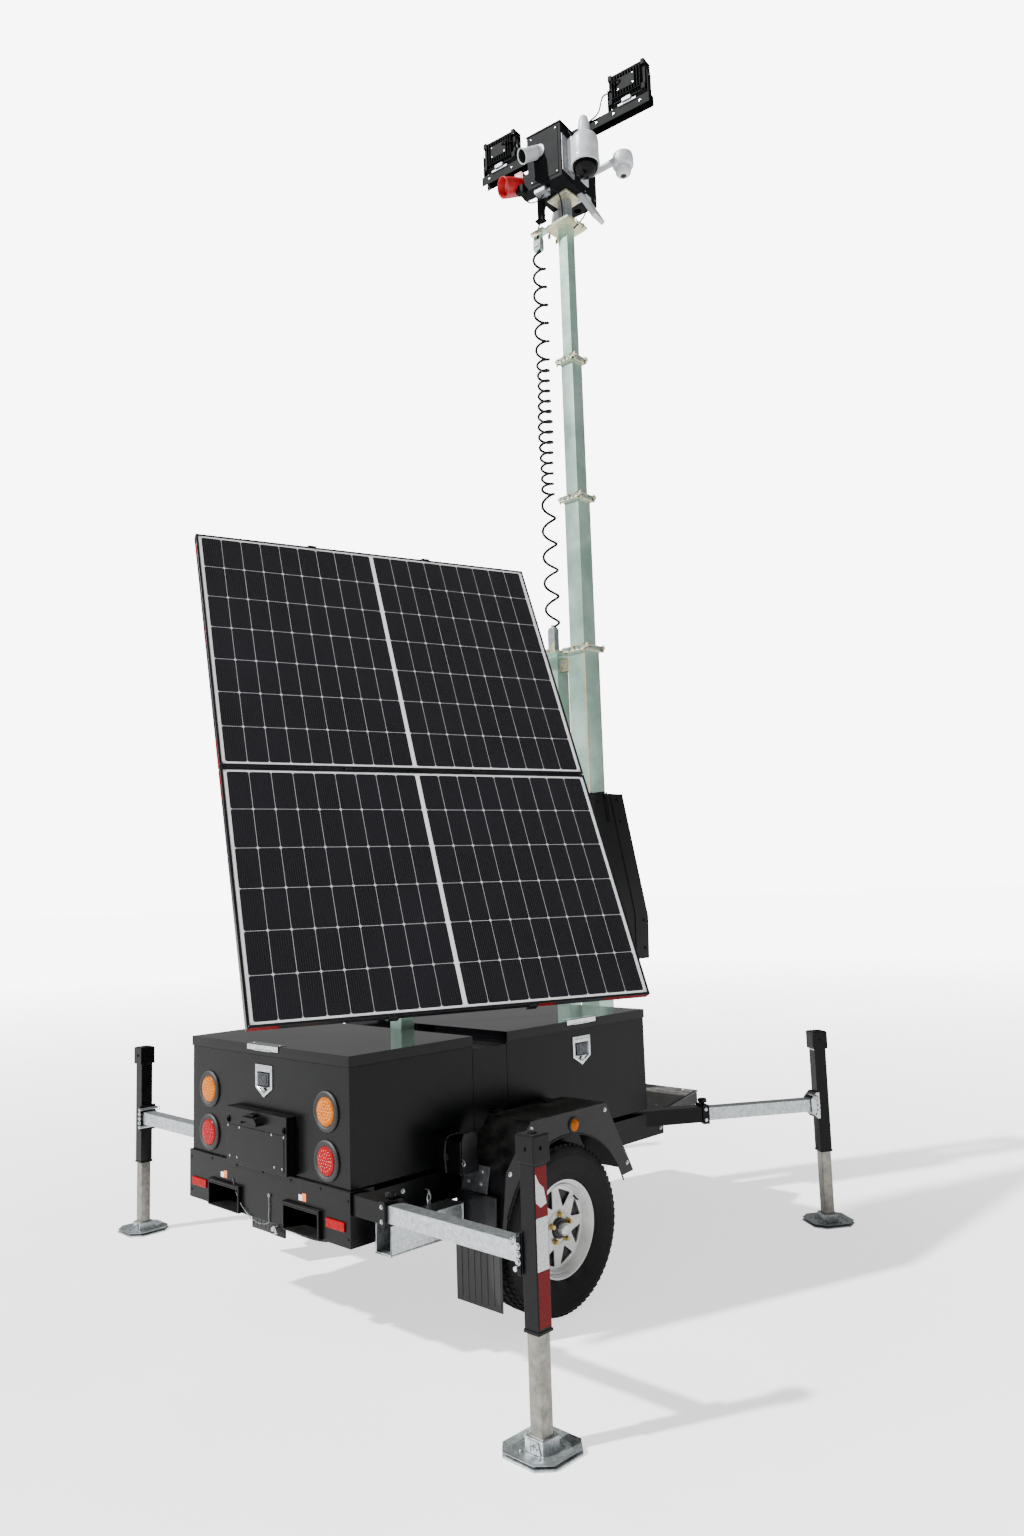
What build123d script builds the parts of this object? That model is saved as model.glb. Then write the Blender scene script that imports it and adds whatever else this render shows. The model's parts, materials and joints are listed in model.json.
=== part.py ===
from build123d import *

import math
import os

# Mobile camera tower on a single-axle trailer, in millimetres.  +Z is up, +Y is the towing
# direction and +X is the right-hand side.  The origin lies on the ground at the centre of the
# footprint.  Trailer coordinates, used below, start on the ground under the axle's middle.

# Driving dimensions: body
body_half = 580
body_bottom = 645
sheet = 3
rear_box = (-894.5, -242.7)
middle_box = (-240.7, -34.8)
front_box = (-32.8, 955.4)
rear_box_top = 1099
middle_box_top = 1085
front_box_top = 1094
lid_height = 42
lid_overhang = 4
lid_gap = 1

# Chassis
rail_wide = 50
rail_bottom = 505
deck_top = 628
rail_wall = 4
rail_rear = -890
rail_front = 1085
cross_bottom = 538
cross_stations = (-140, 290, 690, 1040)
deck_thick = 6
deck_front = 1590
deck_front_half = body_half - 130
bumper_half = body_half + 11
bumper_rear = -906
bumper_bottom = 437
bumper_sheet = 5
pocket_centre = 285
pocket_wide = 240
pocket_high = 100
pocket_wall = 6
pocket_length = 1480
pocket_proud = 16
drawbar_size = 76
drawbar_wall = 5
drawbar_length = 1460
drawbar_z = 500
sleeve_rear = 130
sleeve_gap = 1

# Outriggers and jacks
arm_size = 63
arm_wall = 4
arm_z = 596
receiver_wall = 5
slide_gap = 1
jack_outer = 63
jack_wall = 4
jack_bottom = 360
jack_top = 880
jack_cap = 80
jack_cap_top = 967
jack_leg_top = 560
clamp_thick = 12
clamp_high = 130
foot_size = 228
foot_thick = 8
foot_corner = 48

# Wheels
tyre_radius = 344
tyre_width = 205
tyre_outer_face = body_half + 290
rim_radius = 190
rim_flange = 207
stud_circle = 57.15
spindle_radius = 17
running = 0.05
axle_size = 60
axle_forward = 120
axle_z = 400
stub_x = body_half + 20
stub_thick = 24
hub_reach = 40

# Mast
mast_y = 1300
mast_sizes = (130, 110, 90, 70)
mast_walls = (5, 4, 4, 4)
mast_tops = (3160, 4080, 4950, 5800)
mast_bottoms = (deck_top, 2200, 3400, 4250)
collar_high = 24
collar_proud = 17
head_z = 6000
head_turn = 8
column_x = -213
column_size = 100
column_top = 3140
cord_place = (-155, 1215)
cord_low = 3300
cord_high = 5690
cord_outer = 100

# Panel array
post_y = -140
post_size = 80
post_top = 2050
spigot_radius = 35
spigot_top = 2210
panel_centre = (335, -328.5, 2382)
panel_wide = 1722
lower_panel = 1116
upper_panel = 1300
panel_seam = 8
panel_turn = 19.7
panel_tilt = 64
panel_deep = 35
panel_lip = 11
rail_offset = 300
panel_rail = (40, 50)
pivot_behind = 110
pivot_below = 180
pivot_radius = 20

# The footprint runs from the panel's rear corner to the front feet, and between the rear feet.
rear_reach_right = 1498
rear_reach_left = 1700
front_foot = (1087, 1779)
front_mouth = (body_half + 153, 1244)
front_heading = math.atan2(front_foot[0] - front_mouth[0], front_foot[1] - front_mouth[1])
front_foot_extent = (
    math.cos(front_heading) * foot_size / 2 + math.sin(front_heading) * (foot_size / 2 - foot_corner)
)
panel_half_high = (lower_panel + upper_panel + panel_seam) / 2
panel_lean = math.cos(math.radians(panel_tilt)) * panel_half_high
panel_rearmost = (
    panel_centre[1]
    - math.cos(math.radians(panel_turn)) * panel_wide / 2
    - math.sin(math.radians(panel_turn)) * panel_lean
)
centre_x = (rear_reach_left - rear_reach_right) / 2
axle_y = -(front_foot[1] + front_foot_extent + panel_rearmost) / 2

trailer = Plane(origin=(centre_x, axle_y, 0))
panel_side = Vector(math.sin(math.radians(panel_turn)), math.cos(math.radians(panel_turn)), 0)
panel_level = Vector(math.cos(math.radians(panel_turn)), -math.sin(math.radians(panel_turn)), 0)
panel_normal = (
    panel_level * math.sin(math.radians(panel_tilt))
    + Vector(0, 0, 1) * math.cos(math.radians(panel_tilt))
)
panel_origin = Vector(*panel_centre) + Vector(centre_x, axle_y, 0)
panel_plane = Plane(origin=panel_origin, x_dir=panel_side, z_dir=panel_normal)
head_plane = Plane(
    origin=(centre_x, axle_y + mast_y, head_z),
    x_dir=(math.cos(math.radians(head_turn)), math.sin(math.radians(head_turn)), 0),
)

os.makedirs("parts", exist_ok=True)


def block(x, y, z, mode=Mode.ADD, base=trailer):
    """Add a box that spans the given pair of coordinates on each axis of the base plane."""
    middle = (sum(x) / 2, sum(y) / 2, sum(z) / 2)
    with Locations(base):
        with Locations(middle):
            Box(abs(x[1] - x[0]), abs(y[1] - y[0]), abs(z[1] - z[0]), mode=mode)


def rod(start, end, radius, mode=Mode.ADD, base=trailer):
    """Add a round bar between two points of the base plane."""
    run = Vector(*end) - Vector(*start)
    with Locations(base):
        with Locations(Plane(origin=start, z_dir=run)):
            Cylinder(radius, run.length, align=(Align.CENTER, Align.CENTER, Align.MIN), mode=mode)


def beam(start, end, wide, high, mode=Mode.ADD, base=trailer):
    """Add a rectangular bar along a level line between two points."""
    run = Vector(*end) - Vector(*start)
    side = Vector(0, 0, 1).cross(run)
    with Locations(base):
        with Locations(Plane(origin=start, x_dir=side, z_dir=run)):
            Box(wide, high, run.length, align=(Align.CENTER, Align.CENTER, Align.MIN), mode=mode)


def square_tube(centre, size, wall, z):
    """Add an upright square tube, open at both ends."""
    half = size / 2
    inner = half - wall
    block((centre[0] - half, centre[0] + half), (centre[1] - half, centre[1] + half), z)
    block((centre[0] - inner, centre[0] + inner), (centre[1] - inner, centre[1] + inner), z,
          Mode.SUBTRACT)


def save(piece, name):
    """Label a finished piece and write its file."""
    piece.part.label = name
    export_step(piece.part, "parts/" + name + ".step")


class Outrigger:
    """One slide-out arm with its jack: mouth of the receiver, heading from +Y, and lengths."""

    def __init__(self, name, mouth, heading, reach, receiver, arm):
        self.name = name
        self.mouth = mouth
        self.along = Vector(math.sin(math.radians(heading)), math.cos(math.radians(heading)), 0)
        self.reach = reach
        self.receiver = receiver
        self.arm = arm

    def point(self, distance, z=arm_z):
        return (
            self.mouth[0] + self.along.X * distance,
            self.mouth[1] + self.along.Y * distance,
            z,
        )


rear_mouth = body_half + 210
rear_receiver = rear_mouth + 550
rear_arm_right = 1060
rear_arm_left = 1260
front_receiver = 780
front_arm = 860
rear_right_y = -858
rear_left_y = -560
front_reach = math.dist(front_mouth, front_foot)
front_degrees = math.degrees(front_heading)
outriggers = [
    Outrigger("rear_right", (rear_mouth, rear_right_y), 90, rear_reach_right - rear_mouth,
              rear_receiver, rear_arm_right),
    Outrigger("rear_left", (-rear_mouth, rear_left_y), -90, rear_reach_left - rear_mouth,
              rear_receiver, rear_arm_left),
    Outrigger("front_right", front_mouth, front_degrees, front_reach, front_receiver, front_arm),
    Outrigger("front_left", (-front_mouth[0], front_mouth[1]), -front_degrees, front_reach,
              front_receiver, front_arm),
]
receiver_size = arm_size + 2 * slide_gap + 2 * receiver_wall
sleeve_inner = drawbar_size + 2 * sleeve_gap
sleeve_outer = sleeve_inner + 2 * drawbar_wall

# ---------------------------------------------------------------- chassis weldment
with BuildPart() as chassis_frame:
    for side in (-1, 1):
        rail_x = (side * (body_half - rail_wide), side * body_half)
        block(rail_x, (rail_rear, rail_front), (rail_bottom, deck_top - deck_thick))
    for station in cross_stations:
        block((-body_half + 2, body_half - 2), (station - 25, station + 25),
              (cross_bottom, deck_top - deck_thick))
    for side in (-1, 1):
        beam((side * (body_half - 25), rail_front - 30, 590),
             (side * (deck_front_half - 25), deck_front - 20, 590), 50, 64)
    block((-deck_front_half, deck_front_half), (deck_front - 50, deck_front - 10), (560, 622))
    beam((0, sleeve_rear, drawbar_z), (0, deck_front, drawbar_z), sleeve_outer, sleeve_outer)
    with BuildSketch(Plane(origin=(centre_x, axle_y, deck_top - deck_thick))):
        with BuildLine():
            Polyline(
                (-body_half, front_box[1] + 1),
                (body_half, front_box[1] + 1),
                (body_half, 1150),
                (deck_front_half, deck_front),
                (-deck_front_half, deck_front),
                (-body_half, 1150),
                close=True,
            )
        make_face()
    extrude(amount=deck_thick)
    for arm in outriggers:
        beam(arm.point(-arm.receiver), arm.point(0), receiver_size, receiver_size)
    for side in (-1, 1):
        inner_x = (side * (body_half - rail_wide + rail_wall), side * (body_half - rail_wall))
        block(inner_x, (rail_rear - 1, rail_front + 1),
              (rail_bottom + rail_wall, deck_top - deck_thick - rail_wall), Mode.SUBTRACT)
    for arm in outriggers:
        beam(arm.point(-arm.receiver - 1), arm.point(1), arm_size + 2 * slide_gap,
             arm_size + 2 * slide_gap, Mode.SUBTRACT)
    beam((0, sleeve_rear - 1, drawbar_z), (0, deck_front + 1, drawbar_z), sleeve_inner,
         sleeve_inner, Mode.SUBTRACT)
save(chassis_frame, "chassis_frame")

with BuildPart() as drawbar:
    bar_front = deck_front + 20
    beam((0, bar_front - drawbar_length, drawbar_z), (0, bar_front, drawbar_z), drawbar_size,
         drawbar_size)
    beam((0, bar_front - drawbar_length - 1, drawbar_z), (0, bar_front + 1, drawbar_z),
         drawbar_size - 2 * drawbar_wall, drawbar_size - 2 * drawbar_wall, Mode.SUBTRACT)
    # ball coupler on the front end
    block((-44, 44), (bar_front, bar_front + 8), (drawbar_z - 44, drawbar_z + 44))
    block((-34, 34), (bar_front + 8, bar_front + 60), (drawbar_z - 10, drawbar_z + 40))
    rod((0, bar_front + 90, drawbar_z - 14), (0, bar_front + 90, drawbar_z + 40), 42)
    rod((0, bar_front + 90, drawbar_z - 15), (0, bar_front + 90, drawbar_z + 18), 25.6,
        Mode.SUBTRACT)
save(drawbar, "drawbar")

# ---------------------------------------------------------------- rear bumper and fork pockets
pocket_z = (bumper_bottom, bumper_bottom + pocket_high)
with BuildPart() as bumper:
    block((-bumper_half, bumper_half), (bumper_rear, bumper_rear + bumper_sheet),
          (bumper_bottom, body_bottom - 1))
    for side in (-1, 1):
        block((side * bumper_half, side * (bumper_half - bumper_sheet)), (bumper_rear, -790),
              (bumper_bottom, body_bottom - 1))
    block((-bumper_half, bumper_half), (bumper_rear, bumper_rear + 12),
          (body_bottom - 1 - bumper_sheet, body_bottom - 1))
    for side in (-1, 1):
        block((side * (pocket_centre - pocket_wide / 2 - 1), side * (pocket_centre + pocket_wide / 2 + 1)),
              (bumper_rear - 1, bumper_rear + bumper_sheet + 1), (pocket_z[0] - 1, pocket_z[1] + 1),
              Mode.SUBTRACT)
    half_receiver = receiver_size / 2 + 0.5
    block((0, bumper_half + 1), (rear_right_y - half_receiver, rear_right_y + half_receiver),
          (arm_z - half_receiver, arm_z + half_receiver), Mode.SUBTRACT)
    # linch-pin tab below the centre
    block((50, 150), (bumper_rear + bumper_sheet, bumper_rear + bumper_sheet + 8), (391, 470))
save(bumper, "bumper")

with BuildPart() as fork_pockets:
    for side in (-1, 1):
        pocket_x = (side * (pocket_centre - pocket_wide / 2), side * (pocket_centre + pocket_wide / 2))
        pocket_y = (bumper_rear - pocket_proud, bumper_rear - pocket_proud + pocket_length)
        block(pocket_x, pocket_y, pocket_z)
        block((pocket_x[0] + side * pocket_wall, pocket_x[1] - side * pocket_wall),
              (pocket_y[0] - 1, pocket_y[1] + 1),
              (pocket_z[0] + pocket_wall, pocket_z[1] - pocket_wall), Mode.SUBTRACT)
save(fork_pockets, "fork_pockets")

# ---------------------------------------------------------------- cabinets
lamp_x = body_half - 146
amber_z = 920
red_z = 734
lens_radius = 56
grommet_radius = 79
hinge_radius = 7
hinge_pin = 3
knuckle_half = 40
ear_thick = 8
rear_hinge = (-230, 1106)
side_hinge = (-body_half - lid_overhang - 9, 1106)
hinge_spots_rear = (-380, 380)
hinge_spots_side = (110, 812)


def rear_hinge_fixed(x):
    """Fixed half of a lid hinge whose pin runs across the trailer."""
    for side in (-1, 1):
        near = x + side * (knuckle_half + 0.5)
        rod((near, rear_hinge[0], rear_hinge[1]), (near + side * ear_thick, rear_hinge[0],
            rear_hinge[1]), hinge_radius)
        block((near, near + side * ear_thick), (rear_hinge[0] - hinge_radius, rear_hinge[0] + hinge_radius),
              (middle_box_top, rear_hinge[1]))
    rod((x - knuckle_half - 1, *rear_hinge), (x + knuckle_half + 1, *rear_hinge), hinge_pin)


def side_hinge_fixed(y):
    """Fixed half of a lid hinge whose pin runs along the trailer."""
    for side in (-1, 1):
        near = y + side * (knuckle_half + 0.5)
        rod((side_hinge[0], near, side_hinge[1]), (side_hinge[0], near + side * ear_thick,
            side_hinge[1]), hinge_radius)
        block((side_hinge[0] - hinge_radius, side_hinge[0] + hinge_radius),
              (near, near + side * ear_thick), (front_box_top - 40, side_hinge[1]))
        block((side_hinge[0] - hinge_radius, -body_half), (near, near + side * ear_thick),
              (front_box_top - 40, front_box_top - 6))
    rod((side_hinge[0], y - knuckle_half - 1, side_hinge[1]),
        (side_hinge[0], y + knuckle_half + 1, side_hinge[1]), hinge_pin)


with BuildPart() as rear_cabinet:
    block((-body_half, body_half), rear_box, (body_bottom, rear_box_top))
    block((-body_half + sheet, body_half - sheet), (rear_box[0] + sheet, rear_box[1] - sheet),
          (body_bottom + sheet, rear_box_top + 1), Mode.SUBTRACT)
    for side in (-1, 1):
        for lamp_z in (amber_z, red_z):
            rod((side * lamp_x, rear_box[0] - 1, lamp_z), (side * lamp_x, rear_box[0] + 10, lamp_z),
                lens_radius + 8, Mode.SUBTRACT)
save(rear_cabinet, "rear_cabinet")

with BuildPart() as middle_cabinet:
    block((-body_half, body_half), middle_box, (body_bottom, middle_box_top))
    block((-body_half + sheet, body_half - sheet), (middle_box[0] + sheet, middle_box[1] - sheet),
          (body_bottom - 1, middle_box_top - sheet), Mode.SUBTRACT)
    half_post = post_size / 2 + 1
    block((-half_post, half_post), (post_y - half_post, post_y + half_post),
          (middle_box_top - 10, middle_box_top + 1), Mode.SUBTRACT)
    for spot in hinge_spots_rear:
        rear_hinge_fixed(spot)
save(middle_cabinet, "middle_cabinet")

with BuildPart() as front_cabinet:
    block((-body_half, body_half), front_box, (body_bottom, front_box_top))
    block((-body_half + sheet, body_half - sheet), (front_box[0] + sheet, front_box[1] - sheet),
          (body_bottom + sheet, front_box_top + 1), Mode.SUBTRACT)
    for spot in hinge_spots_side:
        side_hinge_fixed(spot)
save(front_cabinet, "front_cabinet")

housing_half = 224
housing_z = (649, 879)
housing_deep = 45
with BuildPart() as plate_housing:
    block((-housing_half, housing_half), (rear_box[0] - housing_deep, rear_box[0]), housing_z)
    block((-housing_half + sheet, housing_half - sheet),
          (rear_box[0] - housing_deep + sheet, rear_box[0] + 1),
          (housing_z[0] + sheet, housing_z[1] - sheet), Mode.SUBTRACT)
save(plate_housing, "plate_housing")

# ---------------------------------------------------------------- rear lamps
grommet_deep = 9
with BuildPart() as lamp_grommets:
    for side in (-1, 1):
        for lamp_z in (amber_z, red_z):
            face = (side * lamp_x, rear_box[0], lamp_z)
            rod(face, (face[0], face[1] - grommet_deep, lamp_z), grommet_radius)
            rod((face[0], face[1] + 8, lamp_z), (face[0], face[1], lamp_z), lens_radius + 7)
            rod((face[0], face[1] + 9, lamp_z), (face[0], face[1] - grommet_deep - 1, lamp_z),
                lens_radius, Mode.SUBTRACT)
save(lamp_grommets, "lamp_grommets")


def rear_lenses(lamp_z):
    """A pair of round lenses seated in their grommets."""
    for side in (-1, 1):
        rod((side * lamp_x, rear_box[0] + 6, lamp_z),
            (side * lamp_x, rear_box[0] - grommet_deep - 4, lamp_z), lens_radius - 0.2)


marker_place = (47, 2 * tyre_radius + 75)
fender_outer = tyre_outer_face + 15
with BuildPart() as amber_lamps:
    rear_lenses(amber_z)
    for side in (-1, 1):
        rod((side * fender_outer, *marker_place), (side * (fender_outer + 14), *marker_place), 26)
save(amber_lamps, "amber_lamps")

reflector_x = (bumper_half - 151, bumper_half - 31)
reflector_z = (493, 531)
with BuildPart() as red_lamps:
    rear_lenses(red_z)
    for side in (-1, 1):
        block((side * reflector_x[0], side * reflector_x[1]), (bumper_rear - 7, bumper_rear), reflector_z)
save(red_lamps, "red_lamps")

# ---------------------------------------------------------------- fenders and flaps
fender_inner = body_half + 60
fender_top = 2 * tyre_radius + 130
fender_path = [
    (-tyre_radius - 51, tyre_radius + 76),
    (-tyre_radius - 21, tyre_radius + 306),
    (-tyre_radius + 129, fender_top),
    (tyre_radius - 82, fender_top),
    (tyre_radius + 92, tyre_radius + 156),
]
fender_sheet = 4
arch_radius = tyre_radius + 42
arch_cut = (tyre_radius - 144, 460)
with BuildPart() as fenders:
    for side in (-1, 1):
        start = centre_x + side * fender_inner
        with BuildSketch(Plane(origin=(start, axle_y, 0), x_dir=(0, 1, 0), z_dir=(side, 0, 0))):
            with BuildLine():
                Polyline(*[(side * y, z) if side > 0 else (y, -z) for y, z in fender_path])
            trace(line_width=fender_sheet)
        extrude(amount=fender_outer - fender_inner)
        face = centre_x + side * (fender_outer - fender_sheet)
        with BuildSketch(Plane(origin=(face, axle_y, 0), x_dir=(0, 1, 0), z_dir=(side, 0, 0))):
            with BuildLine():
                Polyline(*[(side * y, z) if side > 0 else (y, -z) for y, z in fender_path], close=True)
            make_face()
            with Locations((0, side * tyre_radius)):
                Circle(arch_radius, mode=Mode.SUBTRACT)
            with Locations((0, side * arch_cut[0])):
                Rectangle(arch_radius * 2 + 40, arch_cut[1], mode=Mode.SUBTRACT)
        extrude(amount=fender_sheet)
        for tab_y in (-120, 190):
            block((side * body_half, side * (fender_inner + 20)), (tab_y - 20, tab_y + 20),
                  (fender_top - 10, fender_top - 1.5))
save(fenders, "fenders")

flap_y = (-tyre_radius - 59, -tyre_radius - 53.3)
flap_z = (130, tyre_radius + 96)
with BuildPart() as mud_flaps:
    for side in (-1, 1):
        block((side * (fender_inner - 18), side * (fender_outer - 5)), flap_y, flap_z)
save(mud_flaps, "mud_flaps")

holder_out = 162
holder_y = (-tyre_radius - 134, -tyre_radius - 32)
holder_z = (tyre_radius + 302, tyre_radius + 426)
with BuildPart() as chock_holders:
    for side in (-1, 1):
        holder_x = (side * body_half, side * (body_half + holder_out))
        block(holder_x, holder_y, holder_z)
        block((holder_x[0] + side * sheet, holder_x[1] - side * sheet),
              (holder_y[0] + sheet, holder_y[1] - sheet), (holder_z[0] + sheet, holder_z[1] + 1),
              Mode.SUBTRACT)
save(chock_holders, "chock_holders")

# ---------------------------------------------------------------- axle and wheels
disc_face = tyre_outer_face - 62
spindle_end = disc_face - 8
with BuildPart() as axle_beam:
    block((-stub_x + 40, stub_x - 40), (axle_forward - axle_size / 2, axle_forward + axle_size / 2),
          (axle_z - axle_size / 2, axle_z + axle_size / 2))
    for side in (-1, 1):
        stub = side * stub_x
        block((side * (stub_x - 70), side * (stub_x - 55)), (axle_forward - 50, axle_forward + 50),
              (axle_z + axle_size / 2 - 5, rail_bottom))
        # trailing arm and spindle
        rod((stub - side * 41, axle_forward, axle_z), (stub, axle_forward, axle_z), 24)
        beam((stub, axle_forward + 30, axle_z - 4), (stub, axle_forward - 30, axle_z - 4),
             stub_thick, 56)
        beam((stub, axle_forward, axle_z - 10), (stub, 0, tyre_radius), stub_thick, 50)
        rod((stub - side * stub_thick / 2, 0, tyre_radius),
            (stub + side * stub_thick / 2, 0, tyre_radius), 30)
        rod((stub, 0, tyre_radius), (side * spindle_end, 0, tyre_radius), spindle_radius)
save(axle_beam, "axle_beam")


def tyre(side, name):
    """Radial tyre with a rounded tread and bulged side walls."""
    middle = side * (tyre_outer_face - tyre_width / 2)
    half = tyre_width / 2
    section = Plane(origin=(centre_x + middle, axle_y, tyre_radius), x_dir=(1, 0, 0), z_dir=(0, -1, 0))
    with BuildPart() as piece:
        with BuildSketch(section):
            with BuildLine():
                Polyline((-half + 22, rim_radius), (-half + 9, rim_flange + 14))
                Spline((-half + 9, rim_flange + 14), (-half, rim_flange + 68), (-half + 17, tyre_radius - 18))
                Polyline((-half + 17, tyre_radius - 18), (-half + 32, tyre_radius - 4),
                         (-half + 52, tyre_radius), (half - 52, tyre_radius),
                         (half - 32, tyre_radius - 4), (half - 17, tyre_radius - 18))
                Spline((half - 17, tyre_radius - 18), (half, rim_flange + 68), (half - 9, rim_flange + 14))
                Polyline((half - 9, rim_flange + 14), (half - 22, rim_radius), (-half + 22, rim_radius))
            make_face()
        revolve(axis=Axis((centre_x, axle_y, tyre_radius), (1, 0, 0)))
    save(piece, name)


def wheel(side, name):
    """Spoked steel wheel with its hub, cap and five nuts as separate solids."""
    middle = side * (tyre_outer_face - tyre_width / 2)
    barrel = 150
    axis = Axis((centre_x, axle_y, tyre_radius), (1, 0, 0))
    disc_x = side * disc_face
    with BuildPart() as piece:
        section = Plane(origin=(centre_x + middle, axle_y, tyre_radius), x_dir=(side, 0, 0),
                        z_dir=(0, -side, 0))
        with BuildSketch(section):
            with BuildLine():
                Polyline(
                    (-barrel / 2, rim_radius - 0.5),
                    (-barrel / 2, rim_radius - 5),
                    (-30, rim_radius - 26),
                    (30, rim_radius - 26),
                    (barrel / 2, rim_radius - 5),
                    (barrel / 2 + 6, rim_radius - 5),
                    (barrel / 2 + 6, rim_radius - 0.5),
                    (30, rim_radius - 20),
                    (-30, rim_radius - 20),
                    close=True,
                )
            make_face()
        revolve(axis=axis)
        face = Plane(origin=(centre_x + disc_x, axle_y, tyre_radius), x_dir=(0, 1, 0), z_dir=(side, 0, 0))
        with BuildSketch(face):
            Circle(rim_radius - 23)
            Circle(42, mode=Mode.SUBTRACT)
            with PolarLocations(118, 8, start_angle=22.5):
                RegularPolygon(27, 3, rotation=180, mode=Mode.SUBTRACT)
            with PolarLocations(stud_circle, 5, start_angle=90):
                Circle(8, mode=Mode.SUBTRACT)
        extrude(amount=-6)
    shell = piece.part
    with BuildPart() as hub:
        hub_back = side * (stub_x + hub_reach)
        rod((hub_back, 0, tyre_radius), (disc_x - side * 6.4, 0, tyre_radius), 40)
        rod((disc_x - side * 14, 0, tyre_radius), (disc_x - side * 6.4, 0, tyre_radius), 75)
        rod((disc_x - side * 14, 0, tyre_radius), (disc_x + side * 24, 0, tyre_radius), 41)
        rod((disc_x + side * 23, 0, tyre_radius), (disc_x + side * 50, 0, tyre_radius), 24)
        rod((hub_back - side, 0, tyre_radius), (side * (spindle_end + 2), 0, tyre_radius),
            spindle_radius + running, Mode.SUBTRACT)
    with BuildPart() as nuts:
        with BuildSketch(face.offset(0.4)):
            with PolarLocations(stud_circle, 5, start_angle=90):
                RegularPolygon(10.5, 6)
        extrude(amount=24)
    group = Compound(children=[shell.solid(), hub.part.solid(), *nuts.part.solids()])
    group.label = name
    export_step(group, "parts/" + name + ".step")


for side, word in ((1, "right"), (-1, "left")):
    tyre(side, "tyre_" + word)
    wheel(side, "wheel_" + word)

# ---------------------------------------------------------------- lids and latches
with BuildPart() as rear_lid:
    lid_x = (-body_half - lid_overhang, body_half + lid_overhang)
    lid_y = (rear_box[0] - lid_overhang, rear_box[1])
    lid_z = (rear_box_top + lid_gap, rear_box_top + lid_gap + lid_height)
    block(lid_x, lid_y, lid_z)
    block((lid_x[0] + sheet, lid_x[1] - sheet), (lid_y[0] + sheet, lid_y[1] - sheet),
          (lid_z[0] - 1, lid_z[1] - sheet), Mode.SUBTRACT)
    for spot in hinge_spots_rear:
        knuckle = (spot - knuckle_half, spot + knuckle_half)
        rod((knuckle[0], *rear_hinge), (knuckle[1], *rear_hinge), hinge_radius)
        block(knuckle, (rear_box[1] - 2, rear_hinge[0]), (rear_hinge[1] + 2, rear_hinge[1] + hinge_radius))
        rod((knuckle[0] - 1, *rear_hinge), (knuckle[1] + 1, *rear_hinge), hinge_pin + running,
            Mode.SUBTRACT)
save(rear_lid, "rear_lid")

with BuildPart() as front_lid:
    front_lid_x = (-body_half - lid_overhang, body_half + lid_overhang)
    front_lid_y = (front_box[0], front_box[1] + lid_overhang)
    front_lid_z = (front_box_top + lid_gap, front_box_top + lid_gap + lid_height)
    block(front_lid_x, front_lid_y, front_lid_z)
    block((front_lid_x[0] + sheet, front_lid_x[1] - sheet), (front_lid_y[0] + sheet, front_lid_y[1] - sheet),
          (front_lid_z[0] - 1, front_lid_z[1] - sheet), Mode.SUBTRACT)
    for spot in hinge_spots_side:
        barrel_y = (spot - knuckle_half, spot + knuckle_half)
        rod((side_hinge[0], barrel_y[0], side_hinge[1]), (side_hinge[0], barrel_y[1], side_hinge[1]),
            hinge_radius)
        block((side_hinge[0], front_lid_x[0] + 2), barrel_y,
              (side_hinge[1] + 2, side_hinge[1] + hinge_radius))
        rod((side_hinge[0], barrel_y[0] - 1, side_hinge[1]), (side_hinge[0], barrel_y[1] + 1, side_hinge[1]),
            hinge_pin + running, Mode.SUBTRACT)
save(front_lid, "front_lid")

latch_top = 1062
latch_bottom = 928
latch_half = 62
latch_point = 38
paddle_gap = 4


def latch_outline(half, top, bottom, point):
    """Five-sided outline that points down."""
    Polygon((-half, top), (-half, bottom + point), (0, bottom), (half, bottom + point), (half, top),
            align=None)


rear_latch_plane = Plane(origin=(centre_x, axle_y + rear_box[0], 0), x_dir=(1, 0, 0), z_dir=(0, -1, 0))
side_latch_plane = Plane(origin=(centre_x + body_half, axle_y + 468, 0), x_dir=(0, 1, 0), z_dir=(1, 0, 0))
with BuildPart() as latch_dishes:
    for plane in (rear_latch_plane, side_latch_plane):
        with BuildSketch(plane):
            latch_outline(latch_half, latch_top, latch_bottom, latch_point)
        extrude(amount=3)
save(latch_dishes, "latch_dishes")

for plane, name in ((rear_latch_plane, "rear_latch"), (side_latch_plane, "front_latch")):
    with BuildPart() as paddle:
        with BuildSketch(plane.offset(3 + 0.3)):
            latch_outline(latch_half - 18, latch_top - 34, latch_bottom + 26, latch_point - 14)
        extrude(amount=5)
        with Locations(plane):
            with Locations(Plane(origin=(latch_half - 18, latch_top - 34, 5.8), z_dir=(-1, 0, 0))):
                Cylinder(2.5, 2 * latch_half - 36, align=(Align.CENTER, Align.CENTER, Align.MIN))
    save(paddle, name)

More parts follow.
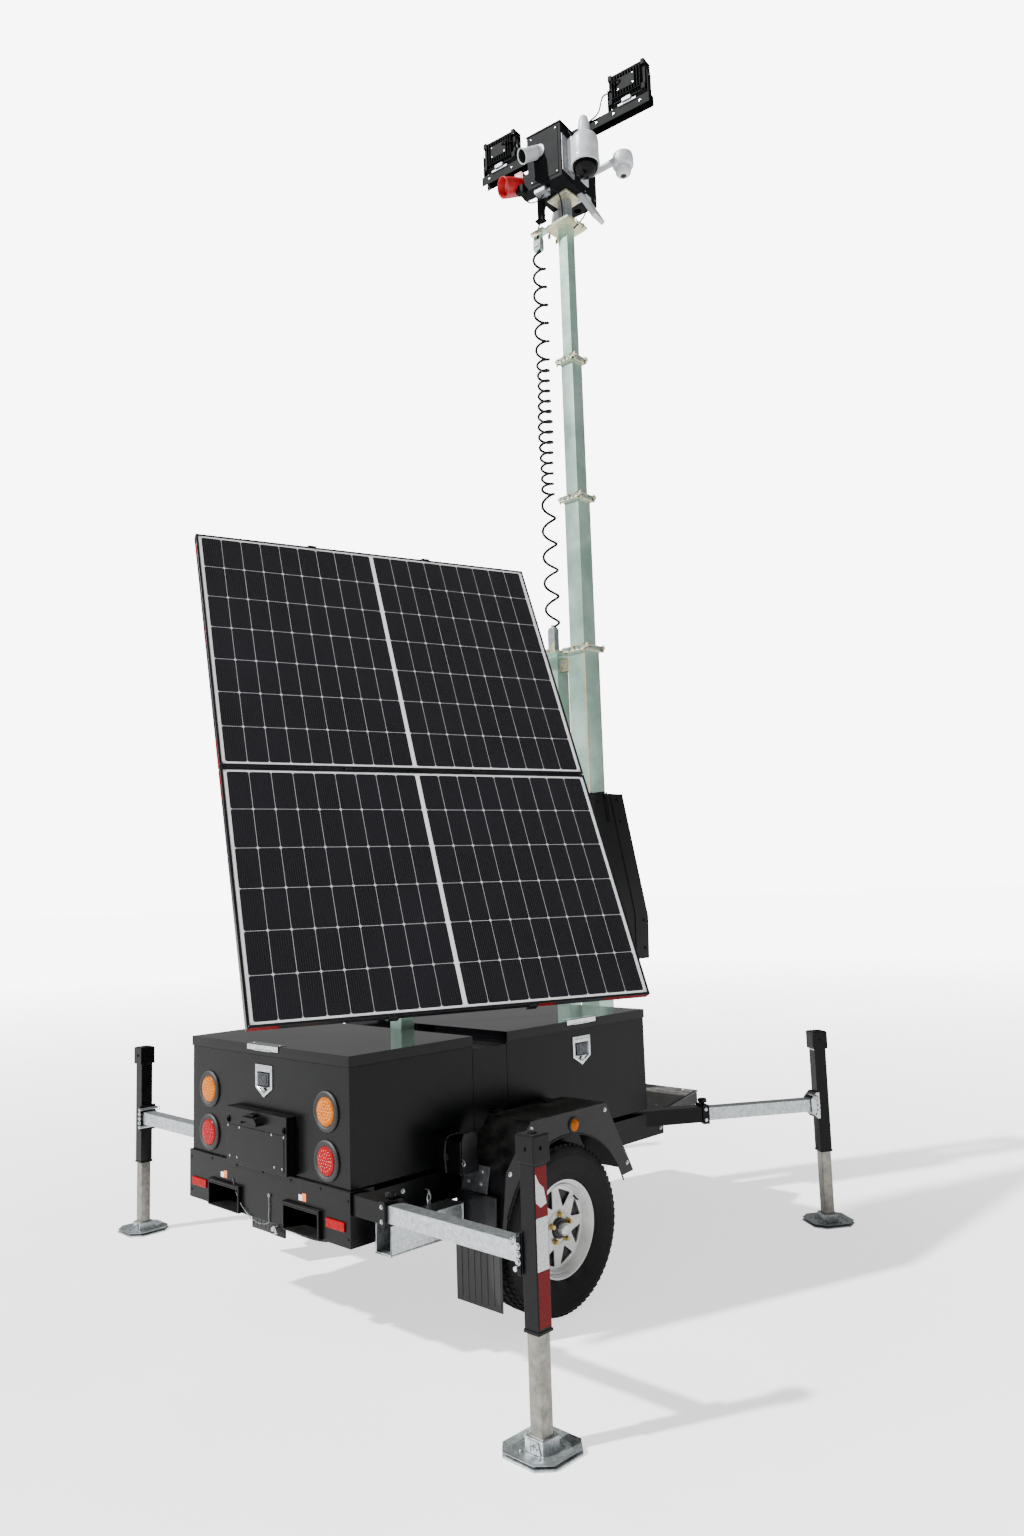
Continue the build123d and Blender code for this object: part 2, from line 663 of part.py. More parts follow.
# ---------------------------------------------------------------- outriggers and jacks
for arm in outriggers:
    arm_end = arm.reach - jack_outer / 2 - clamp_thick
    with BuildPart() as arm_piece:
        beam(arm.point(arm_end - arm.arm), arm.point(arm_end), arm_size, arm_size)
        beam(arm.point(arm_end - arm.arm - 1), arm.point(arm_end + 1), arm_size - 2 * arm_wall,
             arm_size - 2 * arm_wall, Mode.SUBTRACT)
    save(arm_piece, "outrigger_arm_" + arm.name)

    jack = Plane(
        origin=Vector(*arm.point(arm.reach, 0)) + Vector(centre_x, axle_y, 0),
        x_dir=arm.along,
    )
    half = jack_outer / 2
    bore = half - jack_wall
    cap = jack_cap / 2
    with BuildPart() as sleeve:
        block((-half, half), (-half, half), (jack_bottom, jack_top), base=jack)
        block((-cap, cap), (-cap, cap), (jack_top, jack_cap_top), base=jack)
        block((-bore, bore), (-bore, bore), (jack_bottom - 1, jack_top + 20), Mode.SUBTRACT, jack)
        block((-half - clamp_thick, -half), (-38, 38), (arm_z - clamp_high / 2, arm_z + clamp_high / 2),
              base=jack)
    save(sleeve, "jack_sleeve_" + arm.name)

    leg = bore - slide_gap
    foot = foot_size / 2
    with BuildPart() as leg_piece:
        with BuildSketch(jack):
            Rectangle(foot_size, foot_size)
            chamfer(vertices(), length=foot_corner)
        extrude(amount=foot_thick)
        block((-40, 40), (-40, 40), (foot_thick, 50), base=jack)
        block((-leg, leg), (-leg, leg), (foot_thick, jack_leg_top), base=jack)
    save(leg_piece, "jack_leg_" + arm.name)

# ---------------------------------------------------------------- power inside the cabinets
with BuildPart() as battery_bank:
    for x in (-330, -110, 110, 330):
        block((x - 85, x + 85), (-760, -430), (body_bottom + sheet, 880))
save(battery_bank, "battery_bank")

with BuildPart() as power_controller:
    block((-260, 260), (930, 950), (700, 1040))
    block((-220, 220), (790, 930), (720, 1020))
save(power_controller, "power_controller")

# ---------------------------------------------------------------- mast
def mast_section(index):
    """One square mast tube with the guide collar that carries the next tube."""
    size = mast_sizes[index]
    inner = size / 2 - mast_walls[index]
    next_half = mast_sizes[index + 1] / 2 + slide_gap
    collar = size / 2 + collar_proud
    span = (mast_bottoms[index], mast_tops[index])
    neck = (span[1] - collar_high, span[1])
    block((-size / 2, size / 2), (mast_y - size / 2, mast_y + size / 2), span)
    block((-collar, collar), (mast_y - collar, mast_y + collar), neck)
    block((-inner, inner), (mast_y - inner, mast_y + inner), (span[0] - 1, neck[0]), Mode.SUBTRACT)
    block((-next_half, next_half), (mast_y - next_half, mast_y + next_half), (neck[0] - 1, neck[1] + 1),
          Mode.SUBTRACT)


for index in range(3):
    with BuildPart() as tube:
        mast_section(index)
    save(tube, "mast_section_" + str(index + 1))

top_plate_half = 95
head_plate_half = 75
with BuildPart() as mast_section_4:
    square_tube((0, mast_y), mast_sizes[3], mast_walls[3], (mast_bottoms[3], mast_tops[3]))
    block((-top_plate_half, top_plate_half), (mast_y - top_plate_half, mast_y + top_plate_half),
          (mast_tops[3], mast_tops[3] + 10))
    block((-30, 30), (mast_y - 30, mast_y + 30), (mast_tops[3] + 10, head_z - 10))
    block((-head_plate_half, head_plate_half), (mast_y - head_plate_half, mast_y + head_plate_half),
          (head_z - 10, head_z))
    # arm that carries the top of the curly cord
    block((cord_place[0] - 35, -top_plate_half + 5), (cord_place[1] - 35, cord_place[1] + 35),
          (mast_tops[3], mast_tops[3] + 10))
    block((cord_place[0] - 24, cord_place[0] + 24), (cord_place[1] - 18, cord_place[1] + 18),
          (cord_high, mast_tops[3]))
    for x in (-1, 1):
        for y in (-1, 1):
            rod((x * 75, mast_y + y * 75, mast_tops[3] - 1), (x * 75, mast_y + y * 75, mast_tops[3] + 11),
                5.5, Mode.SUBTRACT)
save(mast_section_4, "mast_section_4")

with BuildPart() as cable_column:
    square_tube((column_x, mast_y), column_size, 4, (deck_top, column_top))
    block((column_x - 60, cord_place[0] + 45), (cord_place[1] - 40, mast_y + 60),
          (column_top, column_top + 12))
    block((cord_place[0] - 24, cord_place[0] + 24), (cord_place[1] - 18, cord_place[1] + 18),
          (column_top + 12, cord_low))
save(cable_column, "cable_column")

with BuildPart() as coil_cord:
    rod((*cord_place, cord_low), (*cord_place, cord_high), cord_outer / 2)
save(coil_cord, "coil_cord")

cover_half = 125
cover_bottom = 1340
cover_top = 2290
cover_rear = mast_y - 100
cover_nose = (mast_y + 341, 1582)
cover_front_top = mast_y + 146
cover_front_bottom = mast_y + 332
winch_y = mast_y + 180
winch_z = 1560
bearing_x = 100
bearing_half = 60
cover_profile = [
    (cover_rear, cover_bottom),
    (cover_rear, cover_top),
    (cover_front_top, cover_top),
    cover_nose,
    (cover_front_bottom, cover_bottom),
]
with BuildPart() as winch_cover:
    side_view = Plane(origin=(centre_x - cover_half, axle_y, 0), x_dir=(0, 1, 0), z_dir=(1, 0, 0))
    with BuildSketch(side_view):
        with BuildLine():
            Polyline(*cover_profile, close=True)
        make_face()
    extrude(amount=2 * cover_half)
    with BuildSketch(side_view.offset(sheet)):
        with BuildLine():
            Polyline(*cover_profile, close=True)
        make_face()
        offset(amount=-sheet, mode=Mode.REPLACE)
    extrude(amount=2 * (cover_half - sheet), mode=Mode.SUBTRACT)
    block((-cover_half + sheet, cover_half - sheet), (cover_rear + sheet, cover_front_bottom - sheet - 1),
          (cover_bottom - 1, cover_bottom + 10), Mode.SUBTRACT)
    half_mast = mast_sizes[0] / 2 + 1
    block((-half_mast, half_mast), (mast_y - half_mast, mast_y + half_mast),
          (cover_top - 10, cover_top + 10), Mode.SUBTRACT)
    # bearing plates for the winch drum
    for side in (-1, 1):
        block((side * bearing_x, side * (bearing_x + 8)),
              (mast_y + mast_sizes[0] / 2 + 2, winch_y + bearing_half + 40),
              (winch_z - bearing_half, winch_z + bearing_half))
        block((side * (bearing_x + 8), side * (cover_half - sheet)),
              (winch_y - bearing_half, winch_y + bearing_half),
              (winch_z - bearing_half, winch_z - bearing_half + 10))
    rod((-bearing_x - 9, winch_y, winch_z), (bearing_x + 9, winch_y, winch_z), 14 + running,
        Mode.SUBTRACT)
save(winch_cover, "winch_cover")

with BuildPart() as winch_drum:
    drum_half = bearing_x - 8
    rod((-bearing_x - 12, winch_y, winch_z), (bearing_x + 12, winch_y, winch_z), 14)
    rod((-drum_half, winch_y, winch_z), (drum_half, winch_y, winch_z), 50)
    for side in (-1, 1):
        rod((side * (drum_half - 8), winch_y, winch_z), (side * drum_half, winch_y, winch_z), 85)
save(winch_drum, "winch_drum")

# ---------------------------------------------------------------- panel post, slew head, panels
with BuildPart() as panel_post:
    square_tube((0, post_y), post_size, 5, (deck_top - deck_thick, post_top))
    block((-post_size / 2, post_size / 2), (post_y - post_size / 2, post_y + post_size / 2),
          (post_top - 8, post_top))
    rod((0, post_y, post_top - 1), (0, post_y, spigot_top), spigot_radius)
save(panel_post, "panel_post")

# pivot of the tilt, in panel coordinates: behind the glass and below the centre
pivot = Vector(0, -pivot_below, -pivot_behind)
pivot_world = panel_plane.from_local_coords(pivot)
post_world = Vector(centre_x, axle_y + post_y, pivot_world.Z)
arm_out = (pivot_world - post_world).dot(panel_level)
arm_side = (post_world - pivot_world).dot(panel_side)
slew_plane = Plane(origin=post_world, x_dir=panel_level, z_dir=(0, 0, 1))
pivot_half = rail_offset + 45
with BuildPart() as slew_head:
    rod((0, 0, post_top + 0.3 - pivot_world.Z), (0, 0, spigot_top + 12 - pivot_world.Z), 62, base=slew_plane)
    rod((0, 0, post_top - pivot_world.Z), (0, 0, spigot_top + 0.3 - pivot_world.Z), spigot_radius + running,
        Mode.SUBTRACT, slew_plane)
    block((55, arm_out - 5), (-35, 35), (-35, 35), base=slew_plane)
    rod((arm_out, -arm_side - pivot_half, 0), (arm_out, -arm_side + pivot_half, 0), pivot_radius,
        base=slew_plane)
save(slew_head, "slew_head")

panel_bottom = -panel_half_high
seam_low = panel_bottom + lower_panel
seam_high = seam_low + panel_seam
panel_spans = ((panel_bottom, seam_low), (seam_high, panel_half_high))
with BuildPart() as panel_rails:
    rail_back = -panel_deep - panel_rail[1]
    for side in (-1, 1):
        rail_x = (side * rail_offset - panel_rail[0] / 2, side * rail_offset + panel_rail[0] / 2)
        block(rail_x, (panel_bottom + 60, panel_half_high - 60), (rail_back, -panel_deep), base=panel_plane)
        lug = (side * rail_offset - 8, side * rail_offset + 8)
        block(lug, (-pivot_below - 42, -pivot_below + 42), (-pivot_behind, rail_back + 1), base=panel_plane)
        rod((lug[0], -pivot_below, -pivot_behind), (lug[1], -pivot_below, -pivot_behind), 42,
            base=panel_plane)
    for height in (panel_bottom + 160, seam_low - 60, panel_half_high - 200):
        block((-rail_offset, rail_offset), (height, height + 40), (-panel_deep - 40, -panel_deep),
              base=panel_plane)
    for side in (-1, 1):
        lug = (side * rail_offset - 30, side * rail_offset + 30)
        rod((lug[0], -pivot_below, -pivot_behind), (lug[1], -pivot_below, -pivot_behind),
            pivot_radius + running, Mode.SUBTRACT, panel_plane)
save(panel_rails, "panel_rails")

with BuildPart() as panel_frames:
    half_wide = panel_wide / 2
    for span in panel_spans:
        block((-half_wide, half_wide), span, (-panel_deep, 0), base=panel_plane)
        block((-half_wide + panel_lip, half_wide - panel_lip), (span[0] + panel_lip, span[1] - panel_lip),
              (-panel_deep - 1, 1), Mode.SUBTRACT, panel_plane)
save(panel_frames, "panel_frames")

with BuildPart() as panel_laminates:
    inset = panel_lip + 0.3
    for span in panel_spans:
        block((-half_wide + inset, half_wide - inset), (span[0] + inset, span[1] - inset), (-8, -2),
              base=panel_plane)
save(panel_laminates, "panel_laminates")

# ---------------------------------------------------------------- camera head
head_box_x = (-130, 115)
head_box_y = (-205, 195)
head_box_high = 350
with BuildPart() as head_box:
    block(head_box_x, head_box_y, (0, head_box_high), base=head_plane)
    block((head_box_x[0] + sheet, head_box_x[1] - sheet), (head_box_y[0] + sheet, head_box_y[1] - sheet),
          (sheet, head_box_high - sheet), Mode.SUBTRACT, head_plane)
    rod((0, 150, -1), (0, 150, sheet + 1), 22, Mode.SUBTRACT, head_plane)
save(head_box, "head_box")

bar_y = 15
bar_z = (head_box_high, head_box_high + 60)
lamp_spots = (-475, 475)
lamp_half = (125, 42, 95)
lamp_pivot_z = bar_z[1] + 130
with BuildPart() as lamp_bar:
    block((-620, 620), (bar_y - 30, bar_y + 30), bar_z, base=head_plane)
    block((-621, 621), (bar_y - 26, bar_y + 26), (bar_z[0] - 1, bar_z[1] - 4), Mode.SUBTRACT, head_plane)
    for spot in lamp_spots:
        block((spot - lamp_half[0] - 14, spot + lamp_half[0] + 14), (bar_y - 20, bar_y + 20),
              (bar_z[1], bar_z[1] + 5), base=head_plane)
        for side in (-1, 1):
            ear = (spot + side * (lamp_half[0] + 9), spot + side * (lamp_half[0] + 14))
            block(ear, (bar_y - 20, bar_y + 20), (bar_z[1], lamp_pivot_z + 20), base=head_plane)
            rod((ear[0] + side, bar_y, lamp_pivot_z), (ear[1] - side * 24, bar_y, lamp_pivot_z), 6,
                base=head_plane)
save(lamp_bar, "lamp_bar")

for spot, name in zip(lamp_spots, ("floodlight_left", "floodlight_right")):
    with BuildPart() as floodlight:
        block((spot - lamp_half[0], spot + lamp_half[0]), (bar_y - lamp_half[1], bar_y + lamp_half[1]),
              (lamp_pivot_z - lamp_half[2], lamp_pivot_z + lamp_half[2]), base=head_plane)
        for side in (-1, 1):
            rod((spot + side * (lamp_half[0] + 1), bar_y, lamp_pivot_z),
                (spot + side * (lamp_half[0] - 14), bar_y, lamp_pivot_z), 6 + running, Mode.SUBTRACT,
                head_plane)
    save(floodlight, name)

ptz_place = (238, -134)
ptz_radius = 82
dome_centre = 45
with BuildPart() as ptz_housing:
    rod((*ptz_place, dome_centre + 12), (*ptz_place, 230), ptz_radius, base=head_plane)
    with BuildSketch(head_plane.offset(230)):
        with Locations(ptz_place):
            Circle(ptz_radius - 4)
    with BuildSketch(head_plane.offset(360)):
        with Locations((ptz_place[0] - 30, ptz_place[1])):
            Circle(26)
    loft()
    block((head_box_x[1], head_box_x[1] + 12), (ptz_place[1] - 60, ptz_place[1] + 62), (40, 270),
          base=head_plane)
    rod((head_box_x[1] + 6, ptz_place[1], 180), (ptz_place[0], ptz_place[1], 180), 30, base=head_plane)
save(ptz_housing, "ptz_housing")

with BuildPart() as ptz_dome:
    with Locations(head_plane):
        with Locations((*ptz_place, dome_centre)):
            Sphere(ptz_radius - 4)
    block((ptz_place[0] - 100, ptz_place[0] + 100), (ptz_place[1] - 100, ptz_place[1] + 100),
          (dome_centre + 11.7, dome_centre + 100), Mode.SUBTRACT, head_plane)
save(ptz_dome, "ptz_dome")

bullet_foot = (-40, -205, 235)
bullet_tip = (-122, -300, 150)
with BuildPart() as bullet_camera:
    rod((bullet_foot[0], -256, 222), (bullet_foot[0], -205, 222), 34, base=head_plane)
    rod((bullet_foot[0] - 4, -252, 205), bullet_tip, 44, base=head_plane)
save(bullet_camera, "bullet_camera")

turret_place = (392, 50)
with BuildPart() as turret_camera:
    block((head_box_x[1], 350), (turret_place[1] - 24, turret_place[1] + 24), (104, 140), base=head_plane)
    rod((*turret_place, 70), (*turret_place, 150), 62, base=head_plane)
    rod((*turret_place, 10), (*turret_place, 71), 44, base=head_plane)
save(turret_camera, "turret_camera")

with BuildPart() as siren:
    block((head_box_x[0] - 40, head_box_x[0]), (-195, -130), (10, 120), base=head_plane)
    rod((head_box_x[0] - 72, -150, 90), (head_box_x[0] - 138, -285, 40), 62, base=head_plane)
save(siren, "siren")
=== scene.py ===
import bmesh
import bpy
import json
import math
from mathutils import Matrix, Vector


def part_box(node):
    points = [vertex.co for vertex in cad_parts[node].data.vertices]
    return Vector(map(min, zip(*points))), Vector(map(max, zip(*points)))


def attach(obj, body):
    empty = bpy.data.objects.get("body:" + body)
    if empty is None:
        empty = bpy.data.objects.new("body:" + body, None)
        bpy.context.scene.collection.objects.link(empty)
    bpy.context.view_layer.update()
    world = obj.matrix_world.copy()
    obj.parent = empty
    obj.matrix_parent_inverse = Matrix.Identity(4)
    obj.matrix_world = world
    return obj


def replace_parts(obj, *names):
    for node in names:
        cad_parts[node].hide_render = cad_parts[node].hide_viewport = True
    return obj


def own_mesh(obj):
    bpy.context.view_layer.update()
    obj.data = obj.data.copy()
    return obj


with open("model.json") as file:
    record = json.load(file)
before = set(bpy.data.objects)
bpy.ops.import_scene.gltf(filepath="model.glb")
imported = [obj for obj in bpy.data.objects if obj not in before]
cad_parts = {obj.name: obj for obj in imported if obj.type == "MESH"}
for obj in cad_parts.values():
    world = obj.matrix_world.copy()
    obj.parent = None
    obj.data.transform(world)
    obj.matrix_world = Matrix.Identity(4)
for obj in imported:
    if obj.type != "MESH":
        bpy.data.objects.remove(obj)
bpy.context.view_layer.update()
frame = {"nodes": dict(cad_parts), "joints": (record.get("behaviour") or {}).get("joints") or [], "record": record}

# ------------------------------------------------------------------ where things are
# Three working frames, all in millimetres: the trailer's, with its origin on the ground under
# the middle of the axle, the camera head's on top of the mast, and the solar array's own.
joints = {joint["name"]: joint for joint in frame["joints"]}
cabin_low, cabin_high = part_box("rear_cabinet")
mast_y = 1300
axle_middle = Vector(((cabin_low.x + cabin_high.x) / 2, joints["wheel_right_spin"]["pos_m"][1], 0))
millimetres = Matrix.Scale(0.001, 4)
trailer = Matrix.Translation(axle_middle) @ millimetres

head_axis = Vector(joints["floodlight_left_tilt"]["axis"])
head_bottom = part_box("head_box")[0].z
head = (
    Matrix.Translation(axle_middle + Vector((0, mast_y / 1000, head_bottom)))
    @ Matrix.Rotation(math.atan2(head_axis.y, head_axis.x), 4, "Z")
    @ millimetres
)

array_side = Vector(joints["panel_tilt"]["axis"])
array_lean = math.radians(64)
array_level = array_side.cross(Vector((0, 0, 1)))
array_out = array_level * math.sin(array_lean) + Vector((0, 0, math.cos(array_lean)))
array_up = array_out.cross(array_side)
array_middle = axle_middle + Vector((0.335, -0.3285, 2.382))
array = Matrix.Identity(4)
for column, direction in enumerate((array_side, array_up, array_out)):
    array.col[column][:3] = direction
array.translation = array_middle
array = array @ millimetres

# ------------------------------------------------------------------ camera, floor and light
# A standing person's view from behind the right rear corner, on a pale floor under a broad
# softbox, with a sun-like key from behind on the left that throws the shadows forward.


def set_in_scene(name, data):
    """Put a mesh, curve, light or camera in the scene as an object."""
    thing = bpy.data.objects.new(name, data)
    bpy.context.scene.collection.objects.link(thing)
    return thing


lens_place = axle_middle + Vector((3.962, -3.455, 1.7455))
yaw, pitch, roll = 0.7662, 0.1158, -0.0329
ahead = Vector((-math.sin(yaw) * math.cos(pitch), math.cos(yaw) * math.cos(pitch), math.sin(pitch)))
across = ahead.cross(Vector((0, 0, 1))).normalized()
upright = across.cross(ahead)
camera_turn = Matrix.Identity(4)
camera_turn.col[0][:3] = across * math.cos(roll) + upright * math.sin(roll)
camera_turn.col[1][:3] = upright * math.cos(roll) - across * math.sin(roll)
camera_turn.col[2][:3] = -ahead
camera = set_in_scene("camera", bpy.data.cameras.new("camera"))
camera.data.lens = 25.04
camera.data.sensor_width = 36
camera.data.clip_end = 200
camera.matrix_world = Matrix.Translation(lens_place) @ camera_turn
bpy.context.scene.camera = camera


def add(tree, kind, settings=None, links=None):
    """Add one node with its settings or input values, and link other nodes' outputs into it."""
    node = tree.nodes.new(kind)
    for key, value in (settings or {}).items():
        if isinstance(key, str) and hasattr(node, key):
            setattr(node, key, value)
        else:
            node.inputs[key].default_value = value
    for key, socket in (links or {}).items():
        tree.links.new(socket, node.inputs[key])
    return node


def linear(colour):
    """The linear numbers of an sRGB hex colour."""
    parts = [int(colour[i:i + 2], 16) / 255 for i in (1, 3, 5)]
    return [p / 12.92 if p <= 0.04045 else ((p + 0.055) / 1.055) ** 2.4 for p in parts] + [1]


def surface(name, tones, patch, gloss, relief, metallic=0.0, dust_and_sheen=0.0, grain=0.1, **constants):
    """A material whose tone and gloss drift over patches of a real size in millimetres.

    tones are its darkest and lightest colours, gloss its lowest and highest roughness, relief
    the height in millimetres of a grain that is a share of the patch wide, and dust_and_sheen how
    much pale grey is mixed into what faces up: partly dust, partly a painted sheen of light on tops.
    pale dust lies on what faces up."""
    material = bpy.data.materials.new(name)
    material.use_nodes = True
    tree = material.node_tree
    shader = tree.nodes["Principled BSDF"]
    place = add(tree, "ShaderNodeTexCoord").outputs["Object"]
    drift = add(tree, "ShaderNodeTexNoise", {"Scale": 1000 / patch, "Detail": 6, "Roughness": 0.62},
                {"Vector": place})
    spread = add(tree, "ShaderNodeMapRange", {"From Min": 0.32, "From Max": 0.68},
                 {"Value": drift.outputs["Fac"]})
    tone = add(tree, "ShaderNodeMix", {"data_type": "RGBA", 6: linear(tones[0]), 7: linear(tones[1])},
               {0: spread.outputs["Result"]}).outputs[2]
    fine = add(tree, "ShaderNodeTexNoise", {"Scale": 1000 / (patch * grain), "Detail": 3},
               {"Vector": place})
    rough = add(tree, "ShaderNodeMapRange", {"To Min": gloss[0], "To Max": gloss[1]},
                {"Value": drift.outputs["Fac"]}).outputs["Result"]
    # Faces that point up are mixed towards pale grey: partly dust, partly a painted sheen of the light that falls
    # on tops.
    if dust_and_sheen:
        facing = add(tree, "ShaderNodeSeparateXYZ", {},
                     {"Vector": add(tree, "ShaderNodeNewGeometry").outputs["Normal"]})
        facing_up_share = add(tree, "ShaderNodeMapRange", {"From Min": 0.15, "From Max": 1.0, "To Max": dust_and_sheen},
                    {"Value": facing.outputs["Z"]})
        speckled = add(tree, "ShaderNodeMath", {"operation": "MULTIPLY"},
                       {0: facing_up_share.outputs["Result"], 1: spread.outputs["Result"]})
        tone = add(tree, "ShaderNodeMix", {"data_type": "RGBA", 7: linear("#a8a59c")},
                   {0: speckled.outputs["Value"], 6: tone}).outputs[2]
        rough = add(tree, "ShaderNodeMath", {"operation": "MULTIPLY_ADD", 1: 0.4},
                    {0: speckled.outputs["Value"], 2: rough}).outputs["Value"]
    bump = add(tree, "ShaderNodeBump", {"Distance": relief / 1000}, {"Height": fine.outputs["Fac"]})
    tree.links.new(tone, shader.inputs["Base Color"])
    tree.links.new(rough, shader.inputs["Roughness"])
    tree.links.new(bump.outputs["Normal"], shader.inputs["Normal"])
    shader.inputs["Metallic"].default_value = metallic
    for key, value in constants.items():
        shader.inputs[key.replace("_", " ")].default_value = value
    return material


# Studio floor: sealed pale resin, rolled on, so it is smooth with a faint broad sheen.
pale_resin = surface("sealed_floor_resin", ("#f2f2f2", "#f8f8f8"), 900, (0.32, 0.42), 0.02,
                     Emission_Color=linear("#ffffff"))
resin = pale_resin.node_tree
from_middle = add(resin, "ShaderNodeVectorMath", {"operation": "LENGTH"},
                  {0: add(resin, "ShaderNodeTexCoord").outputs["Object"]}).outputs["Value"]
fade = add(resin, "ShaderNodeMapRange", {"From Min": 2.0, "From Max": 22.0, "To Min": 1.25, "To Max": 6.1},
           {"Value": from_middle}).outputs["Result"]
watched = add(resin, "ShaderNodeLightPath").outputs["Is Camera Ray"]
glow = add(resin, "ShaderNodeMapRange", {"To Min": 0.3}, {"Value": watched, "To Max": fade}).outputs["Result"]
resin.links.new(glow, resin.nodes["Principled BSDF"].inputs["Emission Strength"])
bpy.ops.mesh.primitive_plane_add(size=400)
floor = bpy.context.object
floor.name = "studio_floor"
floor.data.materials.append(pale_resin)

world = bpy.data.worlds.new("studio")
world.use_nodes = True
sky = world.node_tree
seen = add(sky, "ShaderNodeLightPath").outputs["Is Camera Ray"]
amount = add(sky, "ShaderNodeMapRange", {"To Min": 0.26, "To Max": 8.0}, {"Value": seen})
sky.nodes["Background"].inputs["Color"].default_value = linear("#ffffff")
sky.links.new(amount.outputs["Result"], sky.nodes["Background"].inputs["Strength"])
bpy.context.scene.world = world


def lamp(name, kind, place, target, energy, **settings):
    """Hang one studio light at a place, aimed at a target."""
    light = set_in_scene(name, bpy.data.lights.new(name, kind))
    light.data.energy = energy
    for key, value in settings.items():
        setattr(light.data, key, value)
    aim = Vector(target) - Vector(place)
    light.matrix_world = Matrix.Translation(place) @ aim.to_track_quat("-Z", "Y").to_matrix().to_4x4()


lamp("key", "SUN", (-4.36, -9.0, 10.1), (0, 0, 0), 8.5, angle=math.radians(2.5))
lamp("overhead", "AREA", (4, -7, 13), (0, 0, 1), 160, size=8)

# ------------------------------------------------------------------ curly cord
# The power and data lead of the head: a black polyurethane jacket, 16 mm thick, wound hot on
# a mandrel so that it springs back.  Stretched turns hang above and below a closer middle.
black_polyurethane = surface("black_polyurethane_jacket", ("#0b0b0c", "#17181a"), 60, (0.28, 0.42),
                             0.15, Specular_IOR_Level=0.12)
cord_wire = 0.016
cord_low, cord_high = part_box("coil_cord")
cord_axis = (cord_low + cord_high) / 2
cord_radius = (cord_high.x - cord_low.x) / 2 - cord_wire / 2
points_per_turn = 16
winding = ((5, 0.34), (13, 0.36), (6, 0.30))
cord_span = cord_high.z - cord_low.z
cord_points = [(cord_axis.x, cord_axis.y, cord_low.z)]
height = cord_low.z + 0.012
angle = 0.0
for turns, share in winding:
    rise = (cord_span - 0.024) * share / (turns * points_per_turn)
    for step in range(turns * points_per_turn):
        width = cord_radius * (0.9 + 0.1 * math.sin(angle / 9))
        cord_points.append((cord_axis.x + width * math.cos(angle), cord_axis.y + width * math.sin(angle),
                            height))
        angle += 2 * math.pi / points_per_turn
        height += rise
cord_points.append((cord_axis.x, cord_axis.y, cord_high.z))


def bent_line(name, points, fineness):
    """A curve that starts at the first point, ends at the last and rounds those between."""
    line = bpy.data.curves.new(name, "CURVE")
    line.dimensions = "3D"
    line.resolution_u = fineness
    spline = line.splines.new("NURBS")
    spline.points.add(len(points) - 1)
    for place, point in zip(points, spline.points):
        point.co = (*place, 1)
    spline.order_u = 3
    spline.use_endpoint_u = True
    return line


def thicken(line, radius, fineness):
    """Give a curve the round section of a rod or cord, with closed ends."""
    line.bevel_depth = radius
    line.bevel_resolution = fineness
    line.use_fill_caps = True


def evaluated_mesh(thing, name):
    """The plain mesh that an object's modifiers or curve settings give."""
    graph = bpy.context.evaluated_depsgraph_get()
    mesh = bpy.data.meshes.new_from_object(thing.evaluated_get(graph))
    mesh.name = name
    return mesh


cord_line = bent_line("curly_cord_line", cord_points, 3)
holder = set_in_scene("curly_cord_line", cord_line)
cord_path = [tuple(vertex.co) for vertex in evaluated_mesh(holder, "curly_cord_path").vertices]
thicken(cord_line, cord_wire / 2, 3)
cord_mesh = evaluated_mesh(holder, "curly_cord")
cord_mesh.materials.clear()
cord_mesh.materials.append(black_polyurethane)
cord_mesh.shade_smooth()
curly_cord = set_in_scene("curly_cord", cord_mesh)
bpy.data.objects.remove(holder)
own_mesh(curly_cord)
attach(curly_cord, "chassis")
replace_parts(curly_cord, "coil_cord")

# ------------------------------------------------------------------ chassis and front deck
# Welded steel channel and box tube under the cabinets, with four outrigger receivers and the
# plate deck at the nose.  The whole weldment is blasted and powder coated satin black.
satin_powder_coat = surface("satin_black_powder_coat", ("#070708", "#0d0d0f"), 320, (0.24, 0.36), 0.25,
                            dust_and_sheen=0.05, grain=0.02, Specular_IOR_Level=0.14)
worn_powder_coat = surface("worn_black_powder_coat", ("#0e0e10", "#3a3a3c"), 45, (0.38, 0.62), 0.5,
                           dust_and_sheen=0.35, grain=0.09)
zinc_plate = surface("bright_zinc_plate", ("#a9adb0", "#cfd3d6"), 30, (0.22, 0.36), 0.05, metallic=0.9)


def show(name, mesh, material, body):
    """Put a finished mesh in the scene as one piece on a body."""
    thing = set_in_scene(name, mesh)
    mesh.materials.clear()
    mesh.materials.append(material)
    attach(thing, body)
    return thing


def rounded(thing, width, steps=2, smooth=35):
    """Round a piece's sharp edges, in millimetres, and shade it smoothly between them."""
    bevel = thing.modifiers.new("rounded_edges", "BEVEL")
    bevel.width = width / 1000
    bevel.segments = steps
    bevel.limit_method = "ANGLE"
    bevel.angle_limit = math.radians(smooth)
    bevel.harden_normals = True
    thing.data.shade_smooth()
    thing.data.set_sharp_from_angle(angle=math.radians(smooth))
    return thing


bodies_of = {node: body for body, nodes in frame["record"]["behaviour"]["bodies"].items() for node in nodes}


